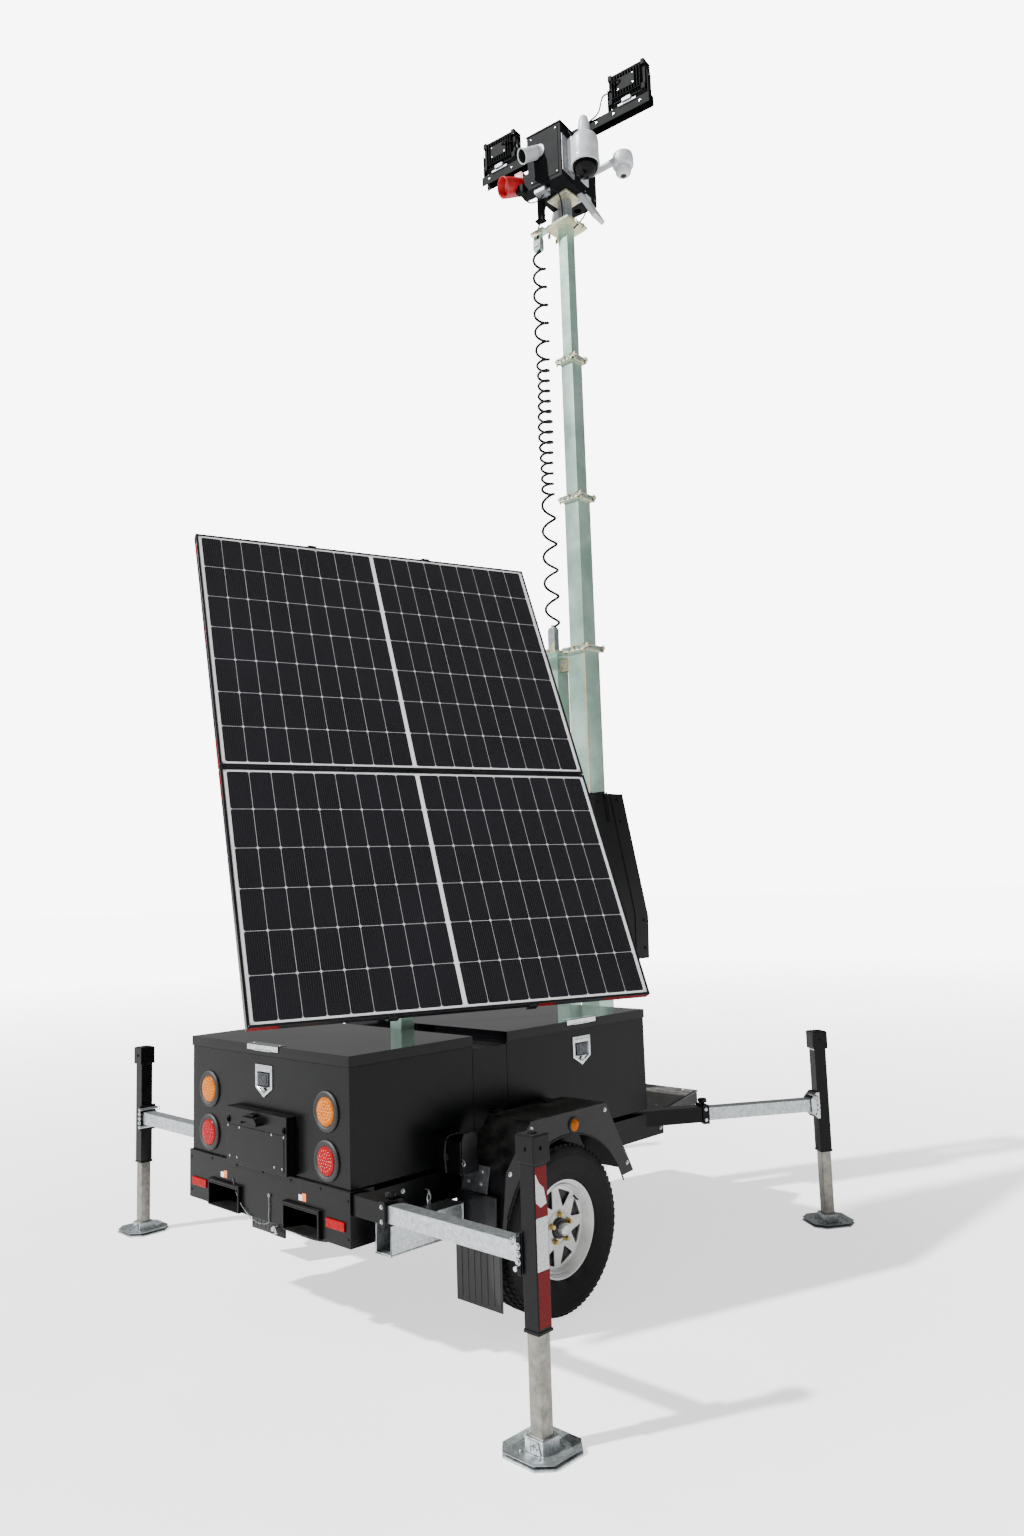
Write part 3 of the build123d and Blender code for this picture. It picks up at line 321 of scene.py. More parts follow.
def dressed(node, material, width=2.0, steps=2):
    """Stand in for a CAD piece with a copy whose triangles are joined and edges rounded."""
    copy = bmesh.new()
    copy.from_mesh(frame["nodes"][node].data)
    bmesh.ops.remove_doubles(copy, verts=copy.verts, dist=2e-6)
    bmesh.ops.dissolve_limit(copy, angle_limit=math.radians(0.8), verts=copy.verts, edges=copy.edges)
    mesh = bpy.data.meshes.new(node + "_dressed")
    copy.to_mesh(mesh)
    copy.free()
    thing = show(node + "_dressed", mesh, material, bodies_of[node])
    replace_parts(thing, node)
    return rounded(thing, width, steps)


class Shape:
    """Plates, bars and turned or folded profiles in one mesh, in millimetres of a base frame."""

    def __init__(self, base=trailer):
        self.base = base
        self.mesh = bmesh.new()

    def box(self, x, y, z, turn=None):
        """A block between two x, two y and two z, turned about its own middle if asked."""
        made = bmesh.ops.create_cube(self.mesh, size=1)
        middle = Vector((sum(x) / 2, sum(y) / 2, sum(z) / 2))
        sizes = Matrix.Diagonal((abs(x[1] - x[0]), abs(y[1] - y[0]), abs(z[1] - z[0]), 1))
        bmesh.ops.transform(self.mesh, verts=made["verts"],
                            matrix=Matrix.Translation(middle) @ (turn or Matrix.Identity(4)) @ sizes)
        return self

    def bar(self, start, end, radius, sides=24, far=None):
        """A round or many-sided bar between two points, which may taper to a far radius."""
        run = Vector(end) - Vector(start)
        made = bmesh.ops.create_cone(self.mesh, cap_ends=True, segments=sides, radius1=radius,
                                     radius2=radius if far is None else far, depth=run.length)
        place = Matrix.Translation((Vector(start) + Vector(end)) / 2)
        bmesh.ops.transform(self.mesh, verts=made["verts"],
                            matrix=place @ run.to_track_quat("Z", "Y").to_matrix().to_4x4())
        return self

    def prism(self, outline, span, axis="x"):
        """Extrude a closed outline of (y, z), (x, z) or (x, y) points along x, y or z."""
        order = {"x": lambda p, s: (s, p[0], p[1]), "y": lambda p, s: (p[0], s, p[1]),
                 "z": lambda p, s: (p[0], p[1], s)}[axis]
        rings = [[self.mesh.verts.new(order(point, station)) for point in outline] for station in span]
        for ring in rings:
            self.mesh.faces.new(ring)
        self.skin(rings)
        return self

    def skin(self, rings, closed=True):
        """Join each ring of vertices to the next with a band of faces."""
        for low, high in zip(rings, rings[1:]):
            for index in range(len(low) if closed else len(low) - 1):
                following = (index + 1) % len(low)
                self.mesh.faces.new((low[index], low[following], high[following], high[index]))

    def lathe(self, profile, start, heading, steps=48):
        """Turn a closed or capped profile of (distance along the axis, radius) about an axis."""
        turn = Vector(heading).to_track_quat("Z", "Y").to_matrix().to_4x4()
        frame_of = Matrix.Translation(start) @ turn
        rings = []
        for step in range(steps):
            angle = 2 * math.pi * step / steps
            rings.append([
                self.mesh.verts.new(frame_of @ Vector((r * math.cos(angle), r * math.sin(angle), d)))
                for d, r in profile
            ])
        self.skin(rings + rings[:1], closed=False)
        return self

    def tube(self, points, radius, sides=10):
        """A bent round rod, wire or fixed lead through a few points, rounded at its bends."""
        bend = bent_line("bend", points, 4)
        thicken(bend, radius, sides // 4)
        carrier = set_in_scene("bend", bend)
        self.mesh.from_mesh(evaluated_mesh(carrier, "bend"))
        bpy.data.objects.remove(carrier)
        return self

    def piece(self, name, material, body, slot, width=0.0, steps=2, smooth=35):
        """Finish the mesh as one named piece on a body, with rounded edges if a width is given."""
        bmesh.ops.remove_doubles(self.mesh, verts=self.mesh.verts, dist=0.001)
        bmesh.ops.transform(self.mesh, verts=self.mesh.verts, matrix=self.base)
        bmesh.ops.recalc_face_normals(self.mesh, faces=self.mesh.faces)
        mesh = bpy.data.meshes.new(name)
        self.mesh.to_mesh(mesh)
        self.mesh.free()
        thing = show(name, mesh, material, body)
        if width:
            return rounded(thing, width, steps, smooth)
        mesh.shade_smooth()
        mesh.set_sharp_from_angle(angle=math.radians(smooth))
        return thing


def node_group(name, inputs):
    """A geometry node tree with these inputs, and the outputs of its input node."""
    tree = bpy.data.node_groups.new(name, "GeometryNodeTree")
    for word, kind in inputs.items():
        tree.interface.new_socket(word, in_out="INPUT", socket_type="NodeSocket" + kind)
    tree.interface.new_socket("Geometry", in_out="OUTPUT", socket_type="NodeSocketGeometry")
    return tree, add(tree, "NodeGroupInput").outputs


def grown(mesh, tree, name, values):
    """The mesh that a geometry node tree makes of another mesh, with its inputs set."""
    carrier = set_in_scene(name + "_carrier", mesh)
    modifier = carrier.modifiers.new("nodes", "NODES")
    modifier.node_group = tree
    for socket in tree.interface.items_tree:
        if socket.item_type == "SOCKET" and socket.in_out == "INPUT" and socket.name in values:
            modifier[socket.identifier] = values[socket.name]
    made = evaluated_mesh(carrier, name)
    bpy.data.objects.remove(carrier)
    return made


def fastener_tree():
    """Geometry nodes that set one chamfered head on a washer at every point, facing its way."""
    tree, given = node_group("fasteners", {
        "Geometry": "Geometry", "Radius": "Float", "Height": "Float", "Sides": "Int", "Taper": "Float",
        "Washer": "Float", "Finish": "Material"})
    top = add(tree, "ShaderNodeMath", {"operation": "MULTIPLY"}, {0: given["Radius"], 1: given["Taper"]})
    rim = add(tree, "ShaderNodeMath", {"operation": "MULTIPLY"}, {0: given["Radius"], 1: given["Washer"]})
    thin = add(tree, "ShaderNodeMath", {"operation": "MULTIPLY", 1: 0.3}, {0: given["Height"]})
    head_part = add(tree, "GeometryNodeMeshCone", {}, {
        "Vertices": given["Sides"], "Radius Bottom": given["Radius"], "Radius Top": top.outputs[0],
        "Depth": given["Height"]})
    washer = add(tree, "GeometryNodeMeshCylinder", {"Vertices": 14}, {
        "Radius": rim.outputs[0], "Depth": thin.outputs[0]})
    both = add(tree, "GeometryNodeJoinGeometry")
    tree.links.new(washer.outputs["Mesh"], both.inputs[0])
    tree.links.new(head_part.outputs["Mesh"], both.inputs[0])
    facing = add(tree, "GeometryNodeInputNamedAttribute", {"data_type": "FLOAT_VECTOR", "Name": "facing"})
    turn = add(tree, "FunctionNodeAlignRotationToVector", {"axis": "Z"}, {"Vector": facing.outputs[0]})
    set_out = add(tree, "GeometryNodeInstanceOnPoints", {}, {
        "Points": given["Geometry"], "Instance": both.outputs[0], "Rotation": turn.outputs[0]})
    real = add(tree, "GeometryNodeRealizeInstances", {}, {"Geometry": set_out.outputs[0]})
    finish = add(tree, "GeometryNodeSetMaterial", {}, {
        "Geometry": real.outputs[0], "Material": given["Finish"]})
    add(tree, "NodeGroupOutput", {}, {"Geometry": finish.outputs[0]})
    return tree


fasteners = fastener_tree()


def fasten(name, body, finish, spots, radius, height, sides=6, taper=0.85, washer=1.35, base=trailer):
    """Set a bolt, screw, nut or rivet head at each spot: a point and the way it faces."""
    points = bpy.data.meshes.new(name + "_spots")
    points.from_pydata([base @ Vector(place) for place, way in spots], [], [])
    facing = points.attributes.new("facing", "FLOAT_VECTOR", "POINT")
    for index, (place, way) in enumerate(spots):
        facing.data[index].vector = (base.to_3x3() @ Vector(way)).normalized()
    mesh = grown(points, fasteners, name, {
        "Radius": radius / 1000, "Height": height / 1000, "Sides": sides, "Taper": taper,
        "Washer": washer, "Finish": finish})
    return show(name, mesh, finish, body)


UP, DOWN = (0, 0, 1), (0, 0, -1)
RIGHT, LEFT = (1, 0, 0), (-1, 0, 0)
FRONT, BACK = (0, 1, 0), (0, -1, 0)

dressed("chassis_frame", satin_powder_coat, 2.5)
dressed("axle_beam", satin_powder_coat, 3)
dressed("drawbar", satin_powder_coat, 3)
# The deck's tread plate: a worn cover sheet, screwed to the frame.
deck = Shape()
deck.prism([(-572, 962), (572, 962), (572, 1146), (442, 1580), (-442, 1580), (-572, 1146)],
           (628, 630.5), "z")
deck.piece("deck_tread_sheet", worn_powder_coat, "chassis", "black_enamel", 1)
fasten("deck_screws", "chassis", zinc_plate,
       [((x, y, 630.5), UP) for x in (-520, 520) for y in (990, 1110)]
       + [((x, 1550, 630.5), UP) for x in (-380, 0, 380)], 6, 3.5, 12, 0.7)
fasten("frame_bolts", "chassis", zinc_plate,
       [((side * 580.5, y, z), (side, 0, 0)) for side in (-1, 1)
        for y, z in ((-640, 590), (-320, 590), (-320, 530), (700, 580), (1000, 580), (1060, 535))],
       7, 6)

# ------------------------------------------------------------------ rear bumper and fork pockets
# Folded plate across the tail, with two welded sleeves for a forklift's tines.  Reflectors,
# blank two-colour tags and a linch pin on its wire lanyard are fixed to it.
dressed("bumper", satin_powder_coat, 2.5, 3)
dressed("fork_pockets", satin_powder_coat, 2, 3)
collars = Shape()
for side in (-1, 1):
    for x in ((161, 171), (399, 409)):
        collars.box((side * x[0], side * x[1]), (-922, -905), (437, 545))
    collars.box((side * 161, side * 409), (-922, -905), (537, 548))
collars.piece("pocket_collars", satin_powder_coat, "chassis", "black_enamel", 3, 3)

orange_vinyl = surface("orange_vinyl", ("#d9631c", "#ef7a2c"), 25, (0.4, 0.5), 0.05)
white_vinyl = surface("white_vinyl", ("#d6d6d4", "#eeeeec"), 20, (0.4, 0.5), 0.05)
for finish, low, high in ((orange_vinyl, 0, 26), (white_vinyl, -24, 0)):
    tags = Shape()
    for x in (-300, 282):
        tags.box((x + low, x + high), (-907.2, -906), (562, 592 if finish is orange_vinyl else 584))
    tags.piece("bumper_tags_orange" if finish is orange_vinyl else "bumper_tags_white", finish,
               "chassis", "black_enamel", 0.4)

# Stranded wire, 3 mm, with a crimped eye at each end.
stranded_wire = surface("stranded_galvanised_wire", ("#4b4d50", "#8f9396"), 6, (0.35, 0.5), 0.4, metallic=0.8)
lanyard = Shape()
lanyard.tube([(-228, -908, 572), (-190, -914, 500), (-90, -912, 432), (10, -909, 418), (52, -909, 440)],
             1.6, 8)
lanyard.tube([(50, -909, 545), (56, -911, 500), (48, -911, 455), (54, -909, 440)], 2.2, 8)
lanyard.bar((52, -906, 545), (52, -912, 545), 9, 16)
lanyard.piece("bumper_lanyard", stranded_wire, "chassis", "black_enamel")
pin = Shape()
pin.bar((86, -899, 420), (86, -918, 420), 8)
pin.tube([(86, -917, 420), (98, -921, 440), (118, -921, 428), (112, -921, 402), (90, -918, 405)], 2.5, 8)
pin.tube([(96, -917, 436), (108, -920, 404), (124, -918, 412)], 2.5, 8)
pin.piece("bumper_linch_pin", zinc_plate, "chassis", "stainless")
fasten("bumper_rivets", "chassis", satin_powder_coat,
       [((x, -906, z), BACK) for x in (-575, 575) for z in (470, 610)]
       + [((x, -906, 628), BACK) for x in (-400, -200, 0, 200, 400)]
       + [((591, y, z), RIGHT) for y in (-880, -815) for z in (470, 610)], 6, 3, 12, 0.75)

# ------------------------------------------------------------------ cabinets and lids
# Boxes folded from 3 mm steel and seam welded, with lids whose drip edges turn down over a
# rubber seal.  Inside stand the batteries and the power controller.
gloss_powder_coat = surface("gloss_black_powder_coat", ("#050506", "#09090b"), 500, (0.05, 0.11), 0.05,
                            dust_and_sheen=0.02, grain=0.012, Specular_IOR_Level=0.16)
for node in ("rear_cabinet", "middle_cabinet", "front_cabinet"):
    dressed(node, satin_powder_coat, 1.4)
for node in ("rear_lid", "front_lid"):
    dressed(node, gloss_powder_coat, 2.5, 3)
seal_rubber = surface("matt_black_rubber", ("#121213", "#1d1d1f"), 40, (0.55, 0.72), 0.2, dust_and_sheen=0.12)
for lid, y, z in (("rear_lid", (-889, -247), 1104), ("front_lid", (-27, 949), 1099)):
    seal = Shape()
    for wide in (-574, 574):
        seal.bar((wide, y[0], z), (wide, y[1], z), 3.5, 12)
    for deep in y:
        seal.bar((-574, deep, z), (574, deep, z), 3.5, 12)
    seal.piece(lid + "_seal", seal_rubber, lid, "black_rubber")

# Stainless lid pulls: a folded lip riveted over the lid's edge.
polished_stainless = surface("polished_stainless_steel", ("#b9bbbd", "#dfe1e3"), 22, (0.08, 0.2), 0.04,
                             metallic=1.0)
pull = Shape()
pull.prism([(-862, 1142), (-862, 1144.5), (-901.5, 1144.5), (-903.5, 1142), (-903.5, 1120), (-900.6, 1120),
            (-900.6, 1142)], (-118, 112))
pull.box((-60, 60), (-908, -903), (1119, 1124))
pull.piece("rear_lid_pull", polished_stainless, "rear_lid", "stainless", 0.8)
pull = Shape()
pull.prism([(548, 1142), (548, 1144.5), (587, 1144.5), (589, 1142), (589, 1120), (586.2, 1120),
            (586.2, 1142)], (365, 570), "y")
pull.box((588, 593), (410, 520), (1119, 1124))
pull.piece("front_lid_pull", polished_stainless, "front_lid", "stainless", 0.8)
fasten("rear_pull_rivets", "rear_lid", zinc_plate,
       [((x, -878, 1144.5), UP) for x in (-100, 94)], 4.5, 2.2, 12, 0.6, 1.1)
fasten("front_pull_rivets", "front_lid", zinc_plate,
       [((564, y, 1144.5), UP) for y in (382, 552)], 4.5, 2.2, 12, 0.6, 1.1)
# The front lid's stay bracket on its rear left edge.
stay = Shape()
stay.box((-470, -300), (-30, 2), (1137, 1142)).box((-460, -430), (-30, -2), (1142, 1150))
stay.bar((-455, -16, 1150), (-320, -16, 1150), 5)
stay.piece("front_lid_stay", satin_powder_coat, "front_lid", "black_enamel", 1)

# Paddle latches: a pressed stainless dish, a hinged paddle and a lock barrel at its point.
tail = (cabin_low.y - axle_middle.y) * 1000
latch_planes = {
    "rear": Matrix(((1, 0, 0, 0), (0, 0, -1, tail), (0, 1, 0, 0), (0, 0, 0, 1))),
    "front": Matrix(((0, 0, 1, 580), (1, 0, 0, 468), (0, 1, 0, 0), (0, 0, 0, 1))),
}
dished_stainless = surface("pressed_stainless_steel", ("#a7a9ab", "#d4d6d8"), 18, (0.12, 0.26), 0.15,
                           metallic=1.0)
# The paddles' polished stainless is given a dark colour: a painted reflection of the dark surroundings it mirrors.
stainless_painted_dark_reflection = surface("stainless_with_painted_dark_reflection", ("#2c2e31", "#55585c"), 14, (0.05, 0.14), 0.1, metallic=1.0)
for word, plane in latch_planes.items():
    place = trailer @ plane
    body = word + "_latch"
    dish = Shape(place)
    outer = [(-62, 1062), (-62, 966), (0, 928), (62, 966), (62, 1062)]
    inner = [(-50, 1050), (-50, 972), (0, 942), (50, 972), (50, 1050)]
    floor_ring = [(-47, 1047), (-47, 974), (0, 946), (47, 974), (47, 1047)]
    rings = [
        [dish.mesh.verts.new((x, y, depth)) for x, y in ring]
        for ring, depth in ((outer, 0), (outer, 5), (inner, 6.5), (floor_ring, 1.2))
    ]
    dish.skin(rings)
    dish.mesh.faces.new(rings[-1])
    dish.piece(word + "_latch_dish", dished_stainless, "chassis", "stainless", 1.2, 3)
    paddle = Shape(place)
    paddle.prism([(-40, 1028), (-38, 974), (38, 974), (40, 1028)], (4, 8), "z")
    paddle.prism([(-28, 1020), (-28, 990), (28, 990), (28, 1020)], (8, 9.5), "z")
    paddle.bar((-44, 1028, 5.8), (44, 1028, 5.8), 3.2, 16)
    paddle.box((-36, 36), (972, 976), (4, 13))
    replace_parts(paddle.piece(word + "_latch_paddle", stainless_painted_dark_reflection, body, "stainless", 1.4, 3),
                body)
    lock = Shape(place)
    lock.lathe([(0, 0), (5, 0), (6, 7), (7.5, 9), (7.5, 12), (0, 12)], (0, 956, 1), UP, 24)
    lock.box((-1.2, 1.2), (951, 961), (5.5, 7))
    lock.bar((-22, 1056, 5), (-22, 1056, 8), 4, 12).bar((22, 1056, 5), (22, 1056, 8), 4, 12)
    lock.piece(word + "_latch_lock", dished_stainless, "chassis", "stainless")
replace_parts(bpy.data.objects["rear_latch_dish"], "latch_dishes")

# Plate housing: a shallow folded tray on the tail, with a hooded lamp over the number plate,
# which carries no number here.
dressed("plate_housing", satin_powder_coat, 2, 3)
plate = Shape()
plate.box((-206, 206), (-941.5, -939), (662, 806))
plate.piece("number_plate_backing", satin_powder_coat, "chassis", "black_enamel", 1)
hood = Shape()
hood.prism([(-75, 838), (-58, 858), (38, 858), (55, 838), (48, 826), (34, 840), (-54, 840), (-68, 826)],
           (-939.5, -972), "y")
hood.box((-32, 12), (-958, -939), (856, 868))
hood.box((-70, 50), (-941.5, -939), (826, 858))
hood.piece("plate_lamp_hood", satin_powder_coat, "chassis", "black_enamel", 1.5)
clips = Shape()
for x in (-214, 200):
    clips.box((x, x + 14), (-946, -939), (812, 838)).box((x + 3, x + 11), (-950, -945), (818, 832))
clips.piece("plate_clips", satin_powder_coat, "chassis", "black_enamel", 1.5)
fasten("plate_screws", "chassis", zinc_plate,
       [((x, -941.5, z), BACK) for x, z in
        ((-195, 676), (-140, 676), (140, 676), (195, 676), (-207, 800), (207, 800), (-120, 800), (120, 800))],
       3.4, 2, 12, 0.6)
dressed("battery_bank", surface("moulded_battery_case", ("#17181b", "#202226"), 90, (0.5, 0.62), 0.4), 5)
dressed("power_controller", surface("die_cast_controller", ("#5c6269", "#7a8087"), 60, (0.42, 0.55), 0.3,
                                    metallic=0.6), 5)

# ------------------------------------------------------------------ rear and side lamps
# Sealed LED lamps pushed into moulded rubber grommets, an oval marker on each fender and
# moulded reflectors.  The lenses are acrylic with rings of small prisms inside.
moulded_rubber = surface("moulded_black_rubber", ("#101011", "#1a1a1c"), 40, (0.5, 0.68), 0.25, dust_and_sheen=0.15)
amber_acrylic = surface("amber_acrylic", ("#8a3c00", "#c26e00"), 9, (0.12, 0.22), 0.4, grain=0.3,
                        Specular_IOR_Level=0.1)
red_acrylic = surface("red_acrylic", ("#640004", "#9a0008"), 9, (0.12, 0.22), 0.4, grain=0.3,
                      Specular_IOR_Level=0.1)
amber_prism = surface("amber_prism", ("#b86404", "#dc8c10"), 12, (0.15, 0.3), 0.2,
                      Specular_IOR_Level=0.15)
red_prism = surface("red_prism", ("#8e0008", "#bc0612"), 12, (0.15, 0.3), 0.2, Specular_IOR_Level=0.15)
lamp_across, amber_high, red_high = 434, 920, 734
grommets = Shape()
for x in (-lamp_across, lamp_across):
    for z in (amber_high, red_high):
        grommets.lathe([(-8, 57), (-8, 63), (0, 63), (0, 78), (5, 79), (9, 76), (11, 71), (11, 64), (8, 60),
                        (7, 56.6), (-8, 57)], (x, tail, z), BACK, 48)
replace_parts(grommets.piece("lamp_grommet_rings", moulded_rubber, "chassis", "black_rubber"), "lamp_grommets")

# Rings of prisms, from the middle of a lens outward: how many in a ring and its radius.
prism_rings = ((1, 0), (6, 13), (12, 26), (18, 39))
for word, z, lens_finish, prism_finish in (("amber", amber_high, amber_acrylic, amber_prism),
                                           ("red", red_high, red_acrylic, red_prism)):
    lens = Shape()
    spots = []
    for x in (-lamp_across, lamp_across):
        lens.lathe([(-6, 0), (-6, 55.8), (7, 55.8), (10, 53), (11, 47), (12.2, 30), (12.6, 0)],
                   (x, tail, z), BACK, 48)
        for count, radius in prism_rings:
            for step in range(count):
                angle = 2 * math.pi * step / count
                lie = 12.4 - radius * radius / 1600
                spots.append(((x + radius * math.cos(angle), tail - lie, z + radius * math.sin(angle)), BACK))
    if word == "amber":
        for side in (-1, 1):
            marker = [(0, 0), (0, 27), (5, 27), (10, 23), (13, 14), (14, 0)]
            lens.lathe(marker, (side * 885, 47, 763), (side, 0, 0), 32)
    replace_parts(lens.piece(word + "_lenses", lens_finish, "chassis", word + "_lens"), word + "_lamps")
    fasten(word + "_lens_prisms", "chassis", prism_finish, spots, 4.6, 1.6, 8, 0.55, 0.5)
marker_rims = Shape()
for side in (-1, 1):
    marker_rims.lathe([(0, 26.5), (0, 33), (5, 33), (8, 29), (8, 26.5)], (side * 885, 47, 763),
                      (side, 0, 0), 32)
marker_rims.piece("fender_marker_rims", moulded_rubber, "chassis", "black_rubber")
reflectors = Shape()
for side in (-1, 1):
    reflectors.box((side * 441, side * 559), (-912.5, -906), (494, 530))
reflectors.piece("bumper_reflectors", red_acrylic, "chassis", "red_lens", 3, 3)
reflector_ribs = [((side * (447 + 7 * column + (3.5 if row % 2 else 0)), -912.5, 499 + 6.5 * row), BACK)
                  for side in (-1, 1) for column in range(16) for row in range(5)]
fasten("reflector_prisms", "chassis", red_prism, reflector_ribs, 2.6, 1.0, 6, 0.5, 0.5)

# ------------------------------------------------------------------ fenders, flaps and chock bins
# Fenders folded from 4 mm plate and bolted through tabs to the body, worn where feet and hoses
# rub them.  Rubber flaps hang from their inner plates and a chock bin sits behind each.
# Their faces that point up are paler: partly dust, partly a painted sheen of the light on the tops.
scuffed_powder_coat = surface("scuffed_black_powder_coat", ("#0b0b0d", "#1c1c1f"), 70, (0.22, 0.42), 0.4,
                              dust_and_sheen=0.16, grain=0.05, Specular_IOR_Level=0.22)
dressed("fenders", scuffed_powder_coat, 2.5, 3)
dressed("mud_flaps", moulded_rubber, 2)
dressed("chock_holders", satin_powder_coat, 2, 3)
rims = Shape()
for side in (-1, 1):
    arch = []
    for step in range(25):
        angle = math.radians(-4 + 188 * step / 24)
        arch.append((side * 886, 386 * math.cos(angle), 344 + 386 * math.sin(angle)))
    rims.tube([point for point in arch if point[2] > 428], 4, 8)
    inner_x = side * 652
    rims.box((inner_x, inner_x + side * 4), (-392, -386), (430, 660))
    rims.box((side * 640, side * 870), (-408, -403), (425, 452))
    rims.prism([(-470, 640), (-384, 640), (-384, 770), (-396, 796), (-458, 796), (-470, 770)],
               (side * 742, side * 746))
rims.piece("fender_rims", scuffed_powder_coat, "chassis", "black_enamel", 1.2)
fasten("fender_bolts", "chassis", zinc_plate,
       [((side * x, -408, 438), BACK) for side in (-1, 1) for x in (662, 728, 794, 850)]
       + [((side * 885, y, z), (side, 0, 0)) for side in (-1, 1)
          for y, z in ((-345, 640), (-215, 790), (255, 790), (395, 540))], 7, 5)
# Splash plate ahead of each flap, bare aluminium, held by four bolts.
mill_aluminium = surface("mill_aluminium", ("#6f7376", "#9a9ea1"), 60, (0.32, 0.5), 0.2, metallic=0.85,
                         dust_and_sheen=0.2)
splash = Shape()
for side in (-1, 1):
    splash.prism([(-414, 430), (-404, 425), (-404, 560), (-414, 560)], (side * 646, side * 866))
splash.piece("flap_backing_strips", scuffed_powder_coat, "chassis", "black_enamel", 1.5)
plates = Shape()
for side in (-1, 1):
    plates.prism([(-395, 560), (-372, 660), (-368, 660), (-390, 556)], (side * 655, side * 800))
plates.piece("splash_plates", mill_aluminium, "chassis", "black_enamel", 0.8)
slope = Vector((0, -100, 23)).normalized()
fasten("splash_bolts", "chassis", zinc_plate,
       [((side * x, y, z), slope) for side in (-1, 1)
        for x, y, z in ((690, -387.5, 595), (760, -387.5, 595), (690, -377, 640), (760, -377, 640))],
       7, 5)
# Flap ribs, bin straps with their ring pins, and a tie-down hook on its chain.
ribs = Shape()
for side in (-1, 1):
    for step in range(7):
        x = 650 + 36 * step
        ribs.box((side * x, side * (x + 8)), (-405, -403), (146, 420))
ribs.piece("mud_flap_ribs", moulded_rubber, "chassis", "black_rubber", 1)
straps = Shape()
for side in (-1, 1):
    x = side * 660
    straps.tube([(x, -480, 640), (x, -486, 700), (x, -480, 776), (x, -430, 782), (x, -374, 776),
                 (x, -370, 700)], 4, 10)
    straps.box((x - 12, x + 12), (-484, -478), (690, 712))
straps.piece("chock_straps", moulded_rubber, "chassis", "black_rubber")
ties = Shape()
for side in (-1, 1):
    x = side * 588
    for link in range(3):
        ring = []
        for step in range(9):
            angle = 2 * math.pi * step / 8
            long, short = 17 * math.cos(angle), 9 * math.sin(angle)
            turn_x, turn_y = (short, 0) if link % 2 else (0, short)
            ring.append((x + side * 9 + turn_x, -520 + turn_y, 545 - 25 * link + long))
        ties.tube(ring, 2.6, 8)
    ties.tube([(x + side * 9, -520, 480), (x + side * 10, -528, 456), (x + side * 9, -518, 440),
               (x + side * 8, -504, 452)], 4, 8)
    ties.tube([(x - side * 10, -520, 572), (x + side * 12, -520, 578), (x + side * 12, -520, 556)], 4, 8)
    ties.tube([(side * 742, -470, 700), (side * 760, -472, 700), (side * 764, -472, 682),
               (side * 752, -472, 672), (side * 746, -472, 690)], 2.2, 8)
ties.piece("tie_down_chains", zinc_plate, "chassis", "stainless")

# ------------------------------------------------------------------ wheels and tyres
# Stamped steel wheels with eight triangular openings, sprayed white, on black cast hubs with
# five zinc nuts and a pressed cap.  Radial tyres with five rows of tread blocks.
white_wheel_enamel = surface("white_wheel_enamel", ("#cfd0cf", "#ececea"), 80, (0.22, 0.36), 0.15,
                             dust_and_sheen=0.12, Coat_Weight=0.4, Coat_Roughness=0.1)
cast_hub_black = surface("black_cast_hub", ("#0f0f10", "#262628"), 14, (0.45, 0.62), 0.5, grain=0.2)
yellow_zinc = surface("yellow_zinc_plate", ("#8f7a45", "#c3ae74"), 8, (0.2, 0.36), 0.1, metallic=0.95)
tyre_rubber = surface("tyre_rubber", ("#060607", "#0f0f10"), 55, (0.58, 0.78), 0.35, dust_and_sheen=0.1, grain=0.04,
                      Specular_IOR_Level=0.25)


def tread_tree():
    """Geometry nodes that set blocks round a circle, standing on their radius."""
    tree, given = node_group("tyre_tread", {
        "Geometry": "Geometry", "Radius": "Float", "Count": "Int", "Block": "Vector", "Across": "Float",
        "Skew": "Float", "Phase": "Float", "Rubber": "Material"})
    circle = add(tree, "GeometryNodeMeshCircle", {}, {"Vertices": given["Count"], "Radius": given["Radius"]})
    block = add(tree, "GeometryNodeMeshCube", {}, {"Size": given["Block"]})
    place = add(tree, "GeometryNodeInputPosition")
    outward = add(tree, "FunctionNodeAlignRotationToVector", {"axis": "X"}, {"Vector": place.outputs[0]})
    twist = add(tree, "ShaderNodeCombineXYZ", {}, {"X": given["Skew"]})
    skewed = add(tree, "FunctionNodeRotateRotation", {"rotation_space": "LOCAL"},
                 {"Rotation": outward.outputs[0]})
    euler = add(tree, "FunctionNodeEulerToRotation", {}, {0: twist.outputs[0]})
    tree.links.new(euler.outputs[0], skewed.inputs[1])
    set_out = add(tree, "GeometryNodeInstanceOnPoints", {}, {
        "Points": circle.outputs["Mesh"], "Instance": block.outputs["Mesh"], "Rotation": skewed.outputs[0]})
    slide = add(tree, "ShaderNodeCombineXYZ", {}, {"Z": given["Across"]})
    spin = add(tree, "ShaderNodeCombineXYZ", {}, {"Z": given["Phase"]})
    real = add(tree, "GeometryNodeRealizeInstances", {}, {"Geometry": set_out.outputs[0]})
    moved = add(tree, "GeometryNodeTransform", {}, {
        "Geometry": real.outputs[0], "Translation": slide.outputs[0], "Rotation": spin.outputs[0]})
    finish = add(tree, "GeometryNodeSetMaterial", {}, {
        "Geometry": moved.outputs[0], "Material": given["Rubber"]})
    add(tree, "NodeGroupOutput", {}, {"Geometry": finish.outputs[0]})
    return tree


tread = tread_tree()


